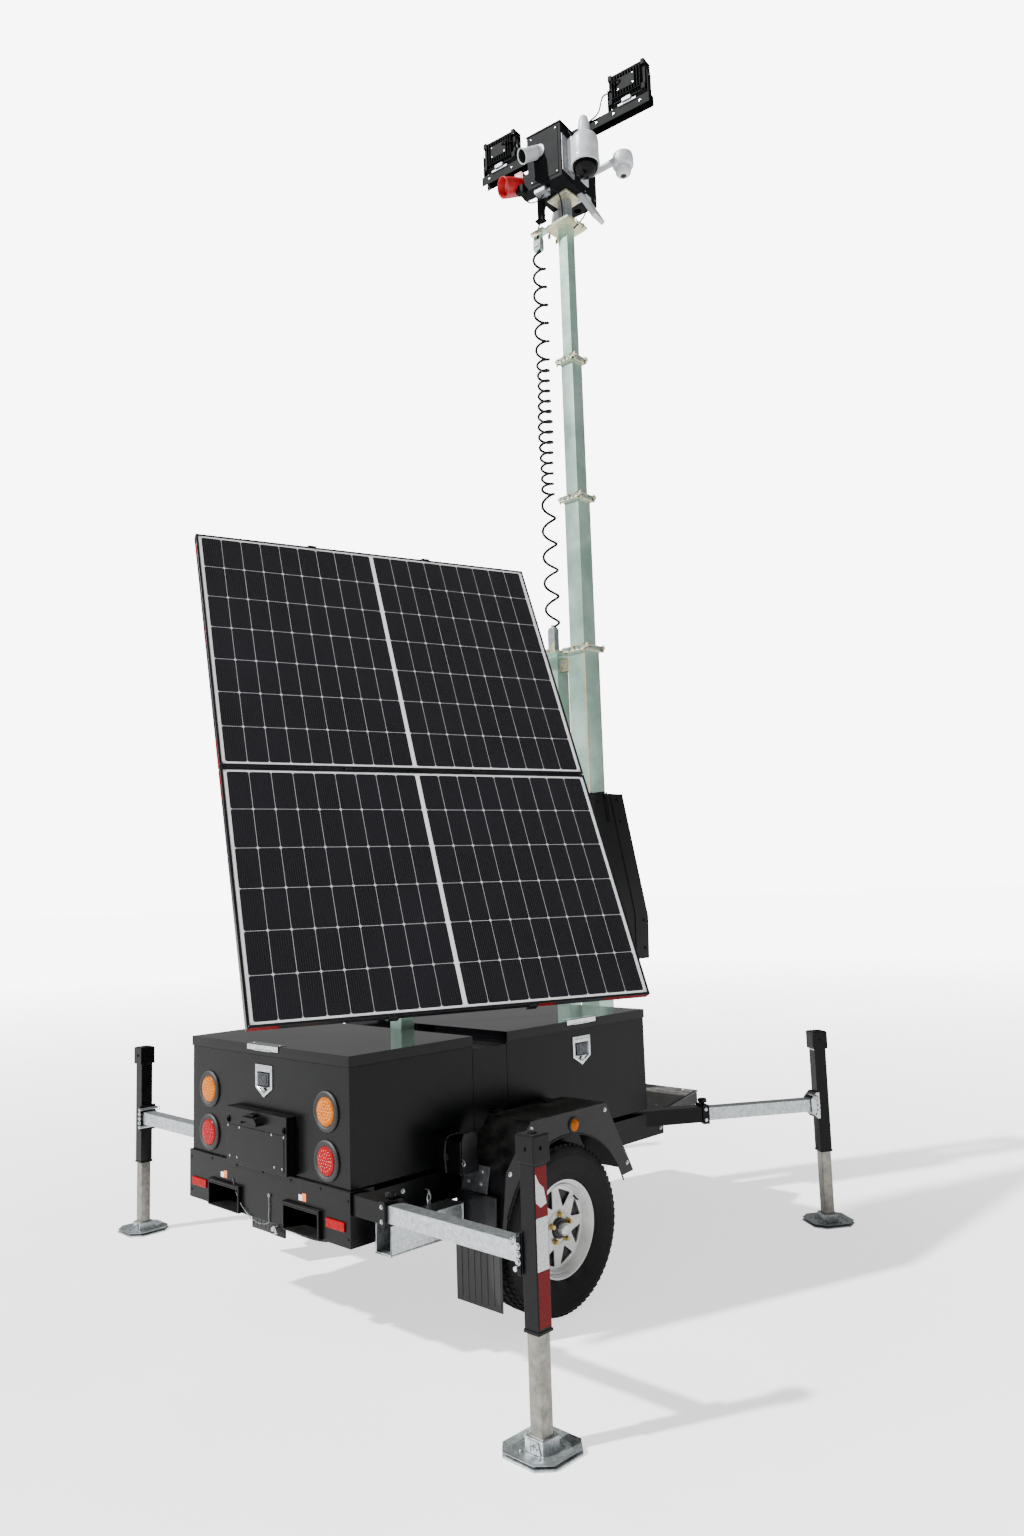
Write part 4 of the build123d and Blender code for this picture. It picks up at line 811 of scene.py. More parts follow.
def tread_row(count, block, across, skew, phase, top):
    """One row of tread blocks as a mesh about its own Z axis, in millimetres."""
    return grown(bpy.data.meshes.new("tread_row"), tread, "tread_row", {
        "Radius": top - block[0] / 2, "Count": count, "Block": block, "Across": across, "Skew": skew,
        "Phase": phase, "Rubber": tyre_rubber})


for side, word in ((1, "right"), (-1, "left")):
    body = "wheel_" + word
    # Local frame: origin at the middle of the tyre, +Z out of the trailer's side.
    stand = Matrix.Translation((side * 767.5, 0, 344)) @ Vector((side, 0, 0)).to_track_quat(
        "Z", "Y").to_matrix().to_4x4()
    place = trailer @ stand
    tyre = Shape(place)
    shoulder = [(76, 192), (92, 207), (95, 214), (96, 222), (98, 224), (98, 232), (100.5, 240), (102, 262),
                (102.4, 276), (101, 290), (101.6, 293), (99.5, 300), (97, 312), (93, 322), (85, 331),
                (75, 336)]
    grooves = [(75, 335), (62, 337.5), (60, 331), (56, 331), (54, 338.5), (28, 339), (26, 331), (20, 331),
               (18, 339.4)]
    half = shoulder + grooves
    profile = half + [(-d, r) for d, r in reversed(half)] + [half[0]]
    tyre.lathe(profile, (0, 0, 0), UP, 96)
    for row in ((72, (9, 21, 20), 71, 0.20, 0.0, 339.6), (64, (6, 24, 23), 41, -0.25, 0.02, 342.6),
                (58, (6, 28, 30), 0, 0.3, 0.04, 343.6), (64, (6, 24, 23), -41, -0.25, 0.03, 342.6),
                (72, (9, 21, 20), -71, 0.20, 0.02, 339.6)):
        tyre.mesh.from_mesh(tread_row(*row))
    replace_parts(tyre.piece("tyre_" + word + "_moulded", tyre_rubber, body, "tyre", 0, 0, 28), "tyre_" + word)

    rim = Shape(place)
    lip = [(81, 189.5), (81, 204), (78, 207), (74.5, 206), (74.5, 190), (66, 188), (56, 183), (42, 178),
           (30, 171), (-30, 171), (-48, 180), (-66, 186), (-74, 190), (-74, 205), (-78, 206), (-80, 203),
           (-79, 186), (-66, 182), (-48, 176), (-32, 166), (30, 166), (44, 173), (58, 178), (70, 184),
           (81, 189.5)]
    rim.lathe(lip, (0, 0, 0), UP, 72)
    rim.lathe([(60, 176), (64, 176), (66, 172), (52, 166), (40, 166), (40, 170), (60, 176)],
              (0, 0, 0), UP, 72)
    rim.piece("wheel_" + word + "_rim", white_wheel_enamel, body, "wheel_enamel")

    # The disc: windows left out of one flat fill, then pressed into a shallow cone.
    flat = bmesh.new()
    loops = [[(radius * math.cos(2 * math.pi * k / count), radius * math.sin(2 * math.pi * k / count))
              for k in range(count)] for radius, count in ((167, 72), (43, 36))]
    for step in range(8):
        swing = math.radians(22.5 + 45 * step)
        corners = ((82, 0), (150, -43), (150, 43))
        loop = []
        for index, (far, wide) in enumerate(corners):
            before = Vector(corners[index - 1])
            after = Vector(corners[(index + 1) % 3])
            here = Vector((far, wide))
            a = here + (before - here).normalized() * 11
            b = here + (after - here).normalized() * 11
            for share in (0, 0.25, 0.5, 0.75, 1):
                loop.append(a.lerp(here, share).lerp(here.lerp(b, share), share))
        loops.append([(p.x * math.cos(swing) - p.y * math.sin(swing),
                       p.x * math.sin(swing) + p.y * math.cos(swing)) for p in loop])
    edges = []
    for loop in loops:
        ring = [flat.verts.new((x, y, 0)) for x, y in loop]
        edges += [flat.edges.new((ring[i], ring[(i + 1) % len(ring)])) for i in range(len(ring))]
    bmesh.ops.triangle_fill(flat, use_beauty=True, use_dissolve=False, edges=edges, normal=(0, 0, 1))
    disc = Shape(place)
    disc.mesh.free()
    disc.mesh = flat
    backs = bmesh.ops.extrude_face_region(flat, geom=flat.faces[:])["geom"]
    for vertex in (item for item in backs if isinstance(item, bmesh.types.BMVert)):
        vertex.co.z -= 5
    for vertex in flat.verts:
        out = vertex.co.xy.length
        vertex.co.z += 41 + 12 * min(1, max(0, (150 - out) / 70))
    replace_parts(disc.piece("wheel_" + word + "_disc", white_wheel_enamel, body, "wheel_enamel", 0.9, 2, 40),
                "wheel_" + word)
    rolled = Shape(place)
    rolled.lathe([(52, 60), (55, 62), (56.5, 66), (55, 70), (52, 72), (48, 66), (52, 60)], (0, 0, 0), UP, 60)
    rolled.piece("wheel_" + word + "_bead", white_wheel_enamel, body, "wheel_enamel")

    # The hub's back widens into a black drum behind the windows: partly a brake drum, partly painted shade
    # standing in for the shadow inside the wheel.
    hub = Shape(place)
    hub.lathe([(-79.5, 17.2), (-79.5, 40), (-52, 44), (-50, 150), (22, 154), (30, 150), (34, 42), (64, 41),
               (66, 39), (66, 26), (60, 25), (60, 17.2), (-79.5, 17.2)], (0, 0, 0), UP, 40)
    hub.piece("wheel_" + word + "_hub", cast_hub_black, body, "black_enamel")
    cap = Shape(place)
    cap.lathe([(60, 0), (60, 25), (80, 25), (82, 23), (92, 22), (95, 18), (95, 0)], (0, 0, 0), UP, 40)
    for step in range(20):
        angle = 2 * math.pi * step / 20
        x, y = 23.4 * math.cos(angle), 23.4 * math.sin(angle)
        cap.bar((x, y, 81), (x, y, 91.5), 2.2, 8)
    cap.piece("wheel_" + word + "_cap", zinc_plate, body, "stainless")
    stud = Shape(place)
    nuts = []
    for step in range(5):
        angle = math.radians(90 + 72 * step)
        x, y = 57.15 * math.cos(angle), 57.15 * math.sin(angle)
        nuts.append(((x, y, 62), UP))
        stud.bar((x, y, 40), (x, y, 71), 5.5, 12)
        stud.bar((x, y, 53), (x, y, 57), 13, 20, 10)
    stud.piece("wheel_" + word + "_studs", yellow_zinc, body, "pale_zinc")
    fasten("wheel_" + word + "_nuts", body, yellow_zinc, nuts, 11, 17, 6, 0.86, 1.15, place)
    valve = Shape(place)
    valve.bar((118, 104, 36), (108, 96, 64), 5, 12, 4).bar((108, 96, 64), (106, 94, 72), 4.2, 12)
    valve.piece("wheel_" + word + "_valve", moulded_rubber, body, "black_rubber")

# ------------------------------------------------------------------ outriggers and jacks
# Galvanised square arms slide out of black receivers; each carries a black jack sleeve in a
# bolted clamp, with a zinc-plated leg and a dished foot.  One sleeve wears reflective tape.
galvanised = surface("hot_dip_galvanised", ("#9aa1a4", "#ced3d4"), 16, (0.26, 0.44), 0.08, metallic=0.85,
                     grain=0.3)
warm_zinc = surface("warm_zinc_plate", ("#6e6c66", "#97948b"), 34, (0.26, 0.42), 0.08, metallic=0.9)
red_sheeting = surface("red_reflective_sheeting", ("#500306", "#7c0a0f"), 7, (0.3, 0.42), 0.25, grain=0.25,
                       Specular_IOR_Level=0.1)
white_sheeting = surface("white_reflective_sheeting", ("#a9abae", "#e6e7e8"), 5, (0.2, 0.32), 0.25, grain=0.3)
outriggers = {
    "rear_right": ((790, -858), 90.0, 708.0),
    "rear_left": ((-790, -560), -90.0, 910.0),
    "front_right": ((733, 1244), math.degrees(math.atan2(354, 535)), math.hypot(354, 535)),
    "front_left": ((-733, 1244), -math.degrees(math.atan2(354, 535)), math.hypot(354, 535)),
}


def slotted(thing, cutter):
    """Cut a piece by the hidden shapes of another mesh."""
    tool = set_in_scene("cutter", cutter)
    cut = thing.modifiers.new("cut", "BOOLEAN")
    cut.object = tool
    cut.solver = "EXACT"
    rest = [modifier for modifier in thing.modifiers if modifier is not cut]
    for modifier in rest:
        modifier.show_viewport = modifier.show_render = False
    mesh = evaluated_mesh(thing, thing.data.name)
    thing.modifiers.remove(cut)
    for modifier in rest:
        modifier.show_viewport = modifier.show_render = True
    thing.data = mesh
    bpy.data.objects.remove(tool)


for word, (mouth, heading, reach) in outriggers.items():
    along = trailer @ Matrix.Translation((*mouth, 0)) @ Matrix.Rotation(math.radians(-heading), 4, "Z")
    arm_body, leg_body = "arm_" + word, "leg_" + word
    arm = dressed("outrigger_arm_" + word, galvanised, 4, 3)
    holes = Shape(along)
    for y, z in ((reach - 92, 590), (reach - 330, 596)):
        holes.bar((-60, y, z - 5), (60, y, z - 5), 6.5, 20).bar((-60, y, z + 7), (60, y, z + 7), 6.5, 20)
        holes.box((-60, 60), (y - 6.5, y + 6.5), (z - 5, z + 7))
    bmesh.ops.transform(holes.mesh, verts=holes.mesh.verts, matrix=along)
    cutter = bpy.data.meshes.new("arm_holes")
    holes.mesh.to_mesh(cutter)
    holes.mesh.free()
    slotted(arm, cutter)
    mouth_collar = Shape(along)
    for x in ((-46, -37), (37, 46)):
        mouth_collar.box(x, (-34, 2), (550, 642))
    for z in ((550, 558.8), (633.2, 642)):
        mouth_collar.box((-46, 46), (-34, 2), z)
    mouth_collar.piece("receiver_collar_" + word, satin_powder_coat, "chassis", "black_enamel", 2)
    knob = Shape(along)
    knob.lathe([(0, 0), (0, 9), (8, 9), (9, 20), (12, 23), (24, 23), (28, 19), (29, 10), (29, 0)],
               (0, -17, 642), UP, 28)
    knob.bar((-60, -17, 596), (-46, -17, 596), 9, 16).bar((-66, -17, 596), (-60, -17, 596), 14, 16)
    knob.tube([(-62, -17, 610), (-70, -14, 622), (-78, -10, 600), (-74, -12, 578), (-64, -17, 584)], 2.2, 8)
    knob.piece("receiver_knob_" + word, satin_powder_coat, "chassis", "black_enamel")
    fasten("receiver_screws_" + word, "chassis", zinc_plate,
           [((46, -17, z), RIGHT) for z in (570, 622)], 6, 4, base=along)

    # Clamp between arm and sleeve: two plates with three bolts each, and pins through them.
    dressed("jack_sleeve_" + word, satin_powder_coat, 4, 3)
    clamp = Shape(along)
    near = reach - 43.5
    edge = near - (30 if word.startswith("front") else 3)
    for x in ((-44, -38), (38, 44)):
        clamp.prism([(edge, 562), (edge, 630), (near, 662), (near + 16, 662), (near + 16, 530),
                     (near, 530)], x)
    clamp.prism([(-26, 880), (26, 880), (30, 872), (-30, 872)], (reach - 30, reach - 33.5), "y")
    clamp.piece("jack_clamp_" + word, zinc_plate if word.startswith("front") else satin_powder_coat,
                arm_body, "black_enamel", 2.5, 3)
    pin = Shape(along)
    for z in (642, 550):
        pin.bar((-52, near - 2, z), (52, near - 2, z), 8, 16)
    pin.tube([(52, near - 2, 642), (60, near - 4, 652), (66, near - 8, 636), (60, near - 6, 622),
              (54, near - 2, 632)], 2.2, 8)
    pin.piece("jack_pins_" + word, zinc_plate, arm_body, "stainless")
    fasten("jack_clamp_bolts_" + word, arm_body, zinc_plate,
           [((side * 44, near + 6, z), (side, 0, 0)) for side in (-1, 1) for z in (596, 620, 572)],
           8, 7, base=along)
    cap = Shape(along)
    cap.box((-36, 36), (reach - 36, reach + 36), (967, 969.5))
    cap.lathe([(0, 0), (0, 15), (3, 15), (4.5, 10), (5, 0)], (0, reach, 969), UP, 24)
    cap.box((-34, 34), (reach - 40.8, reach - 40), (890, 955))
    cap.piece("jack_cap_trim_" + word, satin_powder_coat, arm_body, "black_enamel", 1.5)
    fasten("jack_cap_screws_" + word, arm_body, satin_powder_coat,
           [((side * 40, reach, 925), (side, 0, 0)) for side in (-1, 1)]
           + [((0, reach + 40, 925), FRONT)], 7, 5, 12, base=along)
    # A turned-in lip where the leg leaves the sleeve.
    lip = Shape(along)
    for side in (-1, 1):
        lip.box((side * 29, side * 33.5), (reach - 33.5, reach + 33.5), (358.5, 368))
        lip.box((-33.5, 33.5), (reach + side * 29, reach + side * 33.5), (358.5, 368))
    lip.piece("jack_lip_" + word, satin_powder_coat, arm_body, "black_enamel", 1)

    leg = dressed("jack_leg_" + word, warm_zinc, 3.5, 3)
    leg.data.materials.append(galvanised)
    for polygon in leg.data.polygons:
        if polygon.center.z < 0.0505:
            polygon.material_index = 1
    foot = Shape(along)
    # The dished rim: rings that climb outward from the flat sole.
    rings = []
    for grow, z in ((0, 8), (0, 9.5), (-26, 10), (-26, 8.2)):
        half = 112 + grow
        cut = 46 + grow * 0.25
        ring = [(half - cut, half), (half - 10, half - cut + 8), (half, half - cut), (half, cut - half),
                (half - 10, cut - half - 8), (half - cut, -half), (cut - half, -half),
                (10 - half, cut - half - 8), (-half, cut - half), (-half, half - cut),
                (10 - half, half - cut + 8), (cut - half, half)]
        raised = z + (9 if grow == 0 else 0)
        rings.append([foot.mesh.verts.new((x, reach + y, raised)) for x, y in ring])
    foot.skin(rings + rings[:1])
    for side in (-1, 1):
        foot.prism([(reach - 34, 10), (reach + 34, 10), (reach + 22, 48), (reach - 22, 48)],
                   (side * 40, side * 45))
    foot.piece("jack_foot_" + word, galvanised, leg_body, "galvanised", 1.5, 3)
    hinge = Shape(along)
    hinge.bar((-50, reach, 32), (50, reach, 32), 8, 16)
    hinge.tube([(50, reach, 32), (58, reach + 4, 42), (62, reach + 6, 26), (54, reach + 2, 22)], 2, 8)
    hinge.piece("jack_foot_pin_" + word, zinc_plate, leg_body, "stainless")
    fasten("jack_foot_bolts_" + word, leg_body, zinc_plate,
           [((x, reach + y, 10), UP) for x in (-56, 56) for y in (-40, 40)]
           + [((side * 45, reach + 18, 26), (side, 0, 0)) for side in (-1, 1)], 5, 5, base=along)

# Reflective tape down the outer face of the right rear sleeve: red, white and red again.
sleeve_face = 1498 + 31.5
for name, finish, z in (("jack_tape_upper", red_sheeting, (712, 868)),
                        ("jack_tape_middle", white_sheeting, (548, 711)),
                        ("jack_tape_lower", red_sheeting, (376, 547))):
    tape = Shape()
    tape.box((sleeve_face, sleeve_face + 0.7), (-885, -831), z)
    tape.piece(name, finish, "arm_rear_right", "red_lens" if finish is red_sheeting else "white_plastic",
               0.3, 1)
worn = Shape()
worn.prism([(-884, 850), (-868, 820), (-846, 800), (-834, 750), (-862, 742), (-884, 760)],
           (sleeve_face + 0.5, sleeve_face + 1.2))
worn.piece("jack_tape_patch", white_sheeting, "arm_rear_right", "white_plastic", 0.3, 1)
# Folded galvanised guard hung below the right rear receiver.
guard = Shape()
for z in ((405, 411), (514, 520)):
    guard.box((604, 700), (-800, -430), z)
guard.box((694, 700), (-800, -430), (405, 520)).box((604, 610), (-800, -430), (405, 520))
guard.piece("receiver_guard", galvanised, "chassis", "galvanised", 2.5, 3)

# ------------------------------------------------------------------ mast and its winch cover
# Four square tubes, each riding in the collar of the one below.  They are passivated, which
# leaves a pale green iridescent film; the collars are welded lugs with adjusting bolts.
green_passivate = surface("green_passivated_zinc", ("#8fb3a4", "#c2dccf"), 240, (0.24, 0.4), 0.05,
                          metallic=0.72, grain=0.02)
cream_plate = surface("yellowed_zinc_plate", ("#a9a386", "#d6d0b2"), 36, (0.3, 0.48), 0.12, metallic=0.6)
edge_plate = surface("mast_edge_film", ("#c5b48c", "#d9cda6"), 120, (0.26, 0.4), 0.05, metallic=0.7)
# Each section: its width across and the height of its top, and the body that carries it.
stages = [("mast_section_1", "chassis", 130, 3160), ("mast_section_2", "mast_2", 110, 4080),
          ("mast_section_3", "mast_3", 90, 4950), ("mast_section_4", "mast_head", 70, 5800)]
for node, body, size, high in stages:
    dressed(node, green_passivate, 5, 4)
    half = size / 2
    if body == "chassis":
        corners = Shape()
        out, back = half + 0.35, half - 7
        for x in (-1, 1):
            for y in (-1, 1):
                corners.prism([(x * back, mast_y + y * out), (x * out, mast_y + y * out),
                               (x * out, mast_y + y * back), (x * (out - 0.7), mast_y + y * back),
                               (x * (out - 3.5), mast_y + y * (out - 3.5)),
                               (x * back, mast_y + y * (out - 0.7))], (2300, high - 30), "z")
        corners.piece(node + "_edges", edge_plate, body, "pale_zinc", 0.2, 1)
    if body == "mast_head":
        continue
    collar = Shape()
    wide = half + 19
    for z in ((high - 27, high - 21), (high - 3, high + 4)):
        inner = half + 1 if z[0] < high - 10 else half - 7
        for side in (-1, 1):
            collar.box((side * inner, side * wide), (mast_y - wide, mast_y + wide), z)
            collar.box((-wide, wide), (mast_y + side * inner, mast_y + side * wide), z)
    for x in (-1, 1):
        for y in (-1, 1):
            collar.prism([(x * (wide - 3), high - 27), (x * (wide + 17), high - 14),
                          (x * (wide + 17), high + 2), (x * (wide - 3), high + 4)],
                         (mast_y + y * (wide - 9), mast_y + y * (wide - 2)), "y")
            bolt_x, bolt_y = x * (wide + 8), mast_y + y * (wide - 14)
            collar.bar((bolt_x, bolt_y, high - 34), (bolt_x, bolt_y, high + 10), 6, 16)
            collar.bar((bolt_x, bolt_y, high - 12), (bolt_x, bolt_y, high - 4), 13, 20)
    for side in (-1, 1):
        near, far = mast_y + side * (wide - 2), mast_y + side * (wide + 15)
        collar.prism([(near, high - 24), (far, high - 10), (far, high + 2), (near, high + 4)], (-5, 5))
    collar.piece("mast_collar_" + str(size), cream_plate, body, "pale_zinc", 2, 3)
    fasten("mast_collar_bolts_" + str(size), body, zinc_plate,
           [((x, mast_y + y * wide, high - 12), (0, y, 0)) for x in (-half * 0.6, half * 0.6)
            for y in (-1, 1)]
           + [((x * wide, mast_y + y, high - 12), (x, 0, 0)) for x in (-1, 1)
              for y in (-half * 0.6, half * 0.6)], 8, 9)
    pulley = Shape()
    pulley.lathe([(-4, 4), (-4, 20), (-1.5, 16), (1.5, 16), (4, 20), (4, 4), (-4, 4)],
                 (0, mast_y + wide + 6, high - 8), RIGHT, 24)
    pulley.piece("mast_pulley_" + str(size), zinc_plate, body, "pale_zinc")

dressed("cable_column", green_passivate, 4, 3)
bracket = Shape()
bracket.prism([(-290, 3140), (-110, 3140), (-110, 3210), (-150, 3168), (-250, 3168), (-290, 3215)],
              (1172, 1176), "y")
bracket.prism([(-290, 3140), (-110, 3140), (-110, 3205), (-200, 3160), (-290, 3205)], (1366, 1370), "y")
bracket.box((-290, -110), (1172, 1370), (3152, 3157))
bracket.box((-170, -66), (1268, 1276), (3040, 3110)).box((-170, -66), (1324, 1332), (3040, 3110))
bracket.piece("column_bracket", cream_plate, "chassis", "pale_zinc", 2, 3)
fasten("column_bracket_bolts", "chassis", zinc_plate,
       [((x, 1172, 3153), BACK) for x in (-260, -213, -160)]
       + [((x, 1268, z), BACK) for x in (-145, -90) for z in (3058, 3094)], 8, 7)

# The winch cover: a folded hood open to the mast, with a flanged side, a pull lever and bolts.
dressed("winch_cover", satin_powder_coat, 3, 3)
profile = [(1446, 2290), (1641, 1582), (1632, 1340), (1512, 1340), (1518, 1600), (1330, 2290)]
flange = Shape()
for side in (-1, 1):
    flange.prism(profile, (side * 125.2, side * 129))
flange.box((-129, 129), (1444, 1448), (2276, 2293))
flange.box((-104, 104), (1196, 1200), (2286, 2292))
flange.piece("winch_cover_flanges", satin_powder_coat, "chassis", "black_enamel", 1.5)
fasten("winch_cover_bolts", "chassis", satin_powder_coat,
       [((side * 129, y, z), (side, 0, 0)) for side in (-1, 1)
        for y, z in ((1390, 2255), (1420, 2130), (1600, 1400), (1600, 1560))]
       + [((side * 125, y, z), (side, 0, 0)) for side in (-1, 1) for y, z in ((1230, 2240), (1230, 1400))],
       8, 6)
lever = Shape()
lever.tube([(134, 1290, 2296), (138, mast_y, 2240), (136, 1312, 2180), (134, 1316, 2130)], 5, 10)
lever.bar((125, 1290, 2270), (138, 1290, 2270), 12, 20)
lever.box((100, 150), (1240, 1262), (2288, 2296))
lever.piece("winch_lever", satin_powder_coat, "chassis", "black_enamel", 0.8)
dressed("winch_drum", warm_zinc, 2)
cable = Shape()
turns = [(-78 + 156 * step / 640, 1480 + 55 * math.cos(step * math.pi / 10),
          1560 + 55 * math.sin(step * math.pi / 10)) for step in range(641)]
cable.tube(turns, 3.6, 8)
cable.piece("winch_cable_turns", stranded_wire, "winch_drum", "galvanised")
dressed("panel_post", green_passivate, 4, 3)

# ------------------------------------------------------------------ solar array
# Two framed laminates, one above the other, on rails.  Each holds half-cut black cells in two halves
# about a white centre strip, under low-iron glass, in black anodised frames.
black_anodised = surface("black_anodised_frame", ("#0b0b0d", "#16161a"), 120, (0.26, 0.38), 0.05,
                         metallic=0.3, grain=0.03)
dressed("panel_frames", black_anodised, 1.2)
dressed("panel_rails", surface("mill_finish_rail", ("#83888b", "#aeb3b5"), 80, (0.3, 0.46), 0.12,
                               metallic=0.9), 2.5)
dressed("slew_head", satin_powder_coat, 4, 3)

cell_wide, cell_high = 91.9, 178.2


def cell_material():
    """Cells, their white grid, corner gaps and thin collector wires, in UV millimetres."""
    material = bpy.data.materials.new("monocrystalline_cells")
    material.use_nodes = True
    tree = material.node_tree
    shader = tree.nodes["Principled BSDF"]
    at = add(tree, "ShaderNodeSeparateXYZ", {}, {"Vector": add(tree, "ShaderNodeTexCoord").outputs["UV"]})

    def sum_of(operation, first, second):
        node = tree.nodes.new("ShaderNodeMath")
        node.operation = operation
        for socket, value in zip(node.inputs, (first, second)):
            if isinstance(value, (int, float)):
                socket.default_value = value
            else:
                tree.links.new(value, socket)
        return node.outputs[0]

    def from_line(value, pitch):
        """Distance from the nearest line of a grid, in millimetres."""
        return sum_of("PINGPONG", value, pitch / 2)

    across = sum_of("SUBTRACT", sum_of("ABSOLUTE", at.outputs["X"], 0), 9.0)
    beside = from_line(across, cell_wide)
    above = from_line(at.outputs["Y"], cell_high)
    lines = sum_of("LESS_THAN", sum_of("MINIMUM", beside, above), 0.8)
    corners = sum_of("LESS_THAN", sum_of("ADD", beside, above), 8.0)
    strip = sum_of("LESS_THAN", across, 0.0)
    edge = sum_of("GREATER_THAN", across, 827.1)
    wires = sum_of("LESS_THAN", from_line(across, 9.19), 0.28)
    fingers = sum_of("LESS_THAN", from_line(at.outputs["Y"], 3.2), 0.3)
    place = add(tree, "ShaderNodeTexCoord").outputs["Object"]
    drift = add(tree, "ShaderNodeTexNoise", {"Scale": 3.0, "Detail": 5}, {"Vector": place}).outputs["Fac"]
    cell = add(tree, "ShaderNodeMix", {"data_type": "RGBA", 6: linear("#0b0a0d"), 7: linear("#17151b")},
               {0: drift}).outputs[2]
    print_share = sum_of("MAXIMUM", sum_of("MULTIPLY", wires, 0.20), sum_of("MULTIPLY", fingers, 0.05))
    printed = add(tree, "ShaderNodeMix", {"data_type": "RGBA", 7: linear("#8d8f94")},
                  {0: print_share, 6: cell}).outputs[2]
    gaps = sum_of("MAXIMUM", lines, corners)
    gridded = add(tree, "ShaderNodeMix", {"data_type": "RGBA", 7: linear("#b9babc")},
                  {0: gaps, 6: printed}).outputs[2]
    white = add(tree, "ShaderNodeMix", {"data_type": "RGBA", 7: linear("#e9eaea")},
                {0: sum_of("MAXIMUM", strip, edge), 6: gridded}).outputs[2]
    tree.links.new(white, shader.inputs["Base Color"])
    rough = add(tree, "ShaderNodeMapRange", {"To Min": 0.22, "To Max": 0.34}, {"Value": drift})
    tree.links.new(rough.outputs["Result"], shader.inputs["Roughness"])
    ripple = add(tree, "ShaderNodeTexNoise", {"Scale": 900.0, "Detail": 2}, {"Vector": place}).outputs["Fac"]
    bump = add(tree, "ShaderNodeBump", {"Distance": 0.00003}, {"Height": ripple})
    tree.links.new(bump.outputs["Normal"], shader.inputs["Normal"])
    shader.inputs["Specular IOR Level"].default_value = 0.22
    shader.inputs["Coat Weight"].default_value = 0.12
    shader.inputs["Coat Roughness"].default_value = 0.03
    return material


cells = cell_material()
white_backsheet = surface("white_backsheet", ("#cfd1d2", "#e6e7e8"), 60, (0.2, 0.34), 0.04)
# The two laminates' lower and upper ends, the rows of cells in each, and the gap's middle.
panel_spans = ((-1212.0, -96.0), (-88.0, 1212.0))
panel_rows = (6, 7)
seam = -92
laminates = Shape(array)
for low, high in panel_spans:
    laminates.box((-849.5, 849.5), (low + 11.5, high - 11.5), (-7.9, -2.2))
laminate = laminates.piece("panel_laminate_glass", cells, "panel_array", "solar_glass", 0.4, 1)
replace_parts(laminate, "panel_laminates")
laminate.data.materials.append(white_backsheet)
grid = laminate.data.uv_layers.new(name="cells")
to_array = array.inverted()
for polygon in laminate.data.polygons:
    polygon.material_index = 0 if polygon.normal.dot(array_out) > 0.5 else 1
    for loop in polygon.loop_indices:
        point = to_array @ laminate.data.vertices[laminate.data.loops[loop].vertex_index].co
        low, high = panel_spans[point.y > seam]
        rows = panel_rows[point.y > seam]
        # The grid is stretched so that its rows fill the glass between the white edges.
        grid.data[loop].uv = (point.x, (point.y - low - 20) * cell_high * rows / (high - low - 40))
borders = Shape(array)
for low, high in panel_spans:
    for y in ((low + 11.2, low + 20), (high - 20, high - 11.2)):
        borders.box((-849, 849), y, (-2.2, -1.6))
    for side in (-1, 1):
        borders.box((side * 836, side * 849), (low + 11.2, high - 11.2), (-2.2, -1.6))
borders.piece("panel_white_borders", white_backsheet, "panel_array", "solar_glass")
corner_keys = [((x * 852, y, 0.2), UP) for x in (-1, 1) for low, high in panel_spans
               for y in (low + 6, high - 6)]
fasten("panel_corner_keys", "panel_array", black_anodised, corner_keys,
       4, 1.2, 12, 0.6, 1.1, array)
clamps = Shape(array)
for x in (-300, 300):
    for y, reach in ((seam, 4), (-1212, 8), (1212, 8)):
        clamps.box((x - 22, x + 22), (y - reach, y + reach), (-40, 1.5))
        clamps.bar((x, y, 1.5), (x, y, 6), 6.5, 6)
for low, high in panel_spans:
    for x in (-560, 0, 560):
        clamps.box((x - 55, x + 55), ((low + high) / 2 - 30, (low + high) / 2 + 30), (-30, -8.2))
clamps.piece("panel_clamps_and_boxes", black_anodised, "panel_array", "panel_aluminium", 2)
leads = Shape(array)
for low, high in panel_spans:
    y = (low + high) / 2
    for start, end in ((-505, -55), (55, 505)):
        leads.tube([(start, y - 20, -20), (start + 60, y - 60, -26), ((start + end) / 2, y - 90, -28),
                    (end - 60, y - 60, -26), (end, y - 20, -20)], 3, 8)
leads.piece("panel_leads", black_polyurethane, "panel_array", "cord_black")
tape = Shape(array)
for y in ((1090, 1209), (560, 650), (-85, 40), (-240, -100)):
    tape.box((-861.6, -861), y, (-33, -3))
for x in ((-858, -740), (300, 400), (640, 858)):
    tape.box(x, (-1212.6, -1212), (-33, -3))
tape.piece("panel_red_tape", red_sheeting, "panel_array", "red_lens")

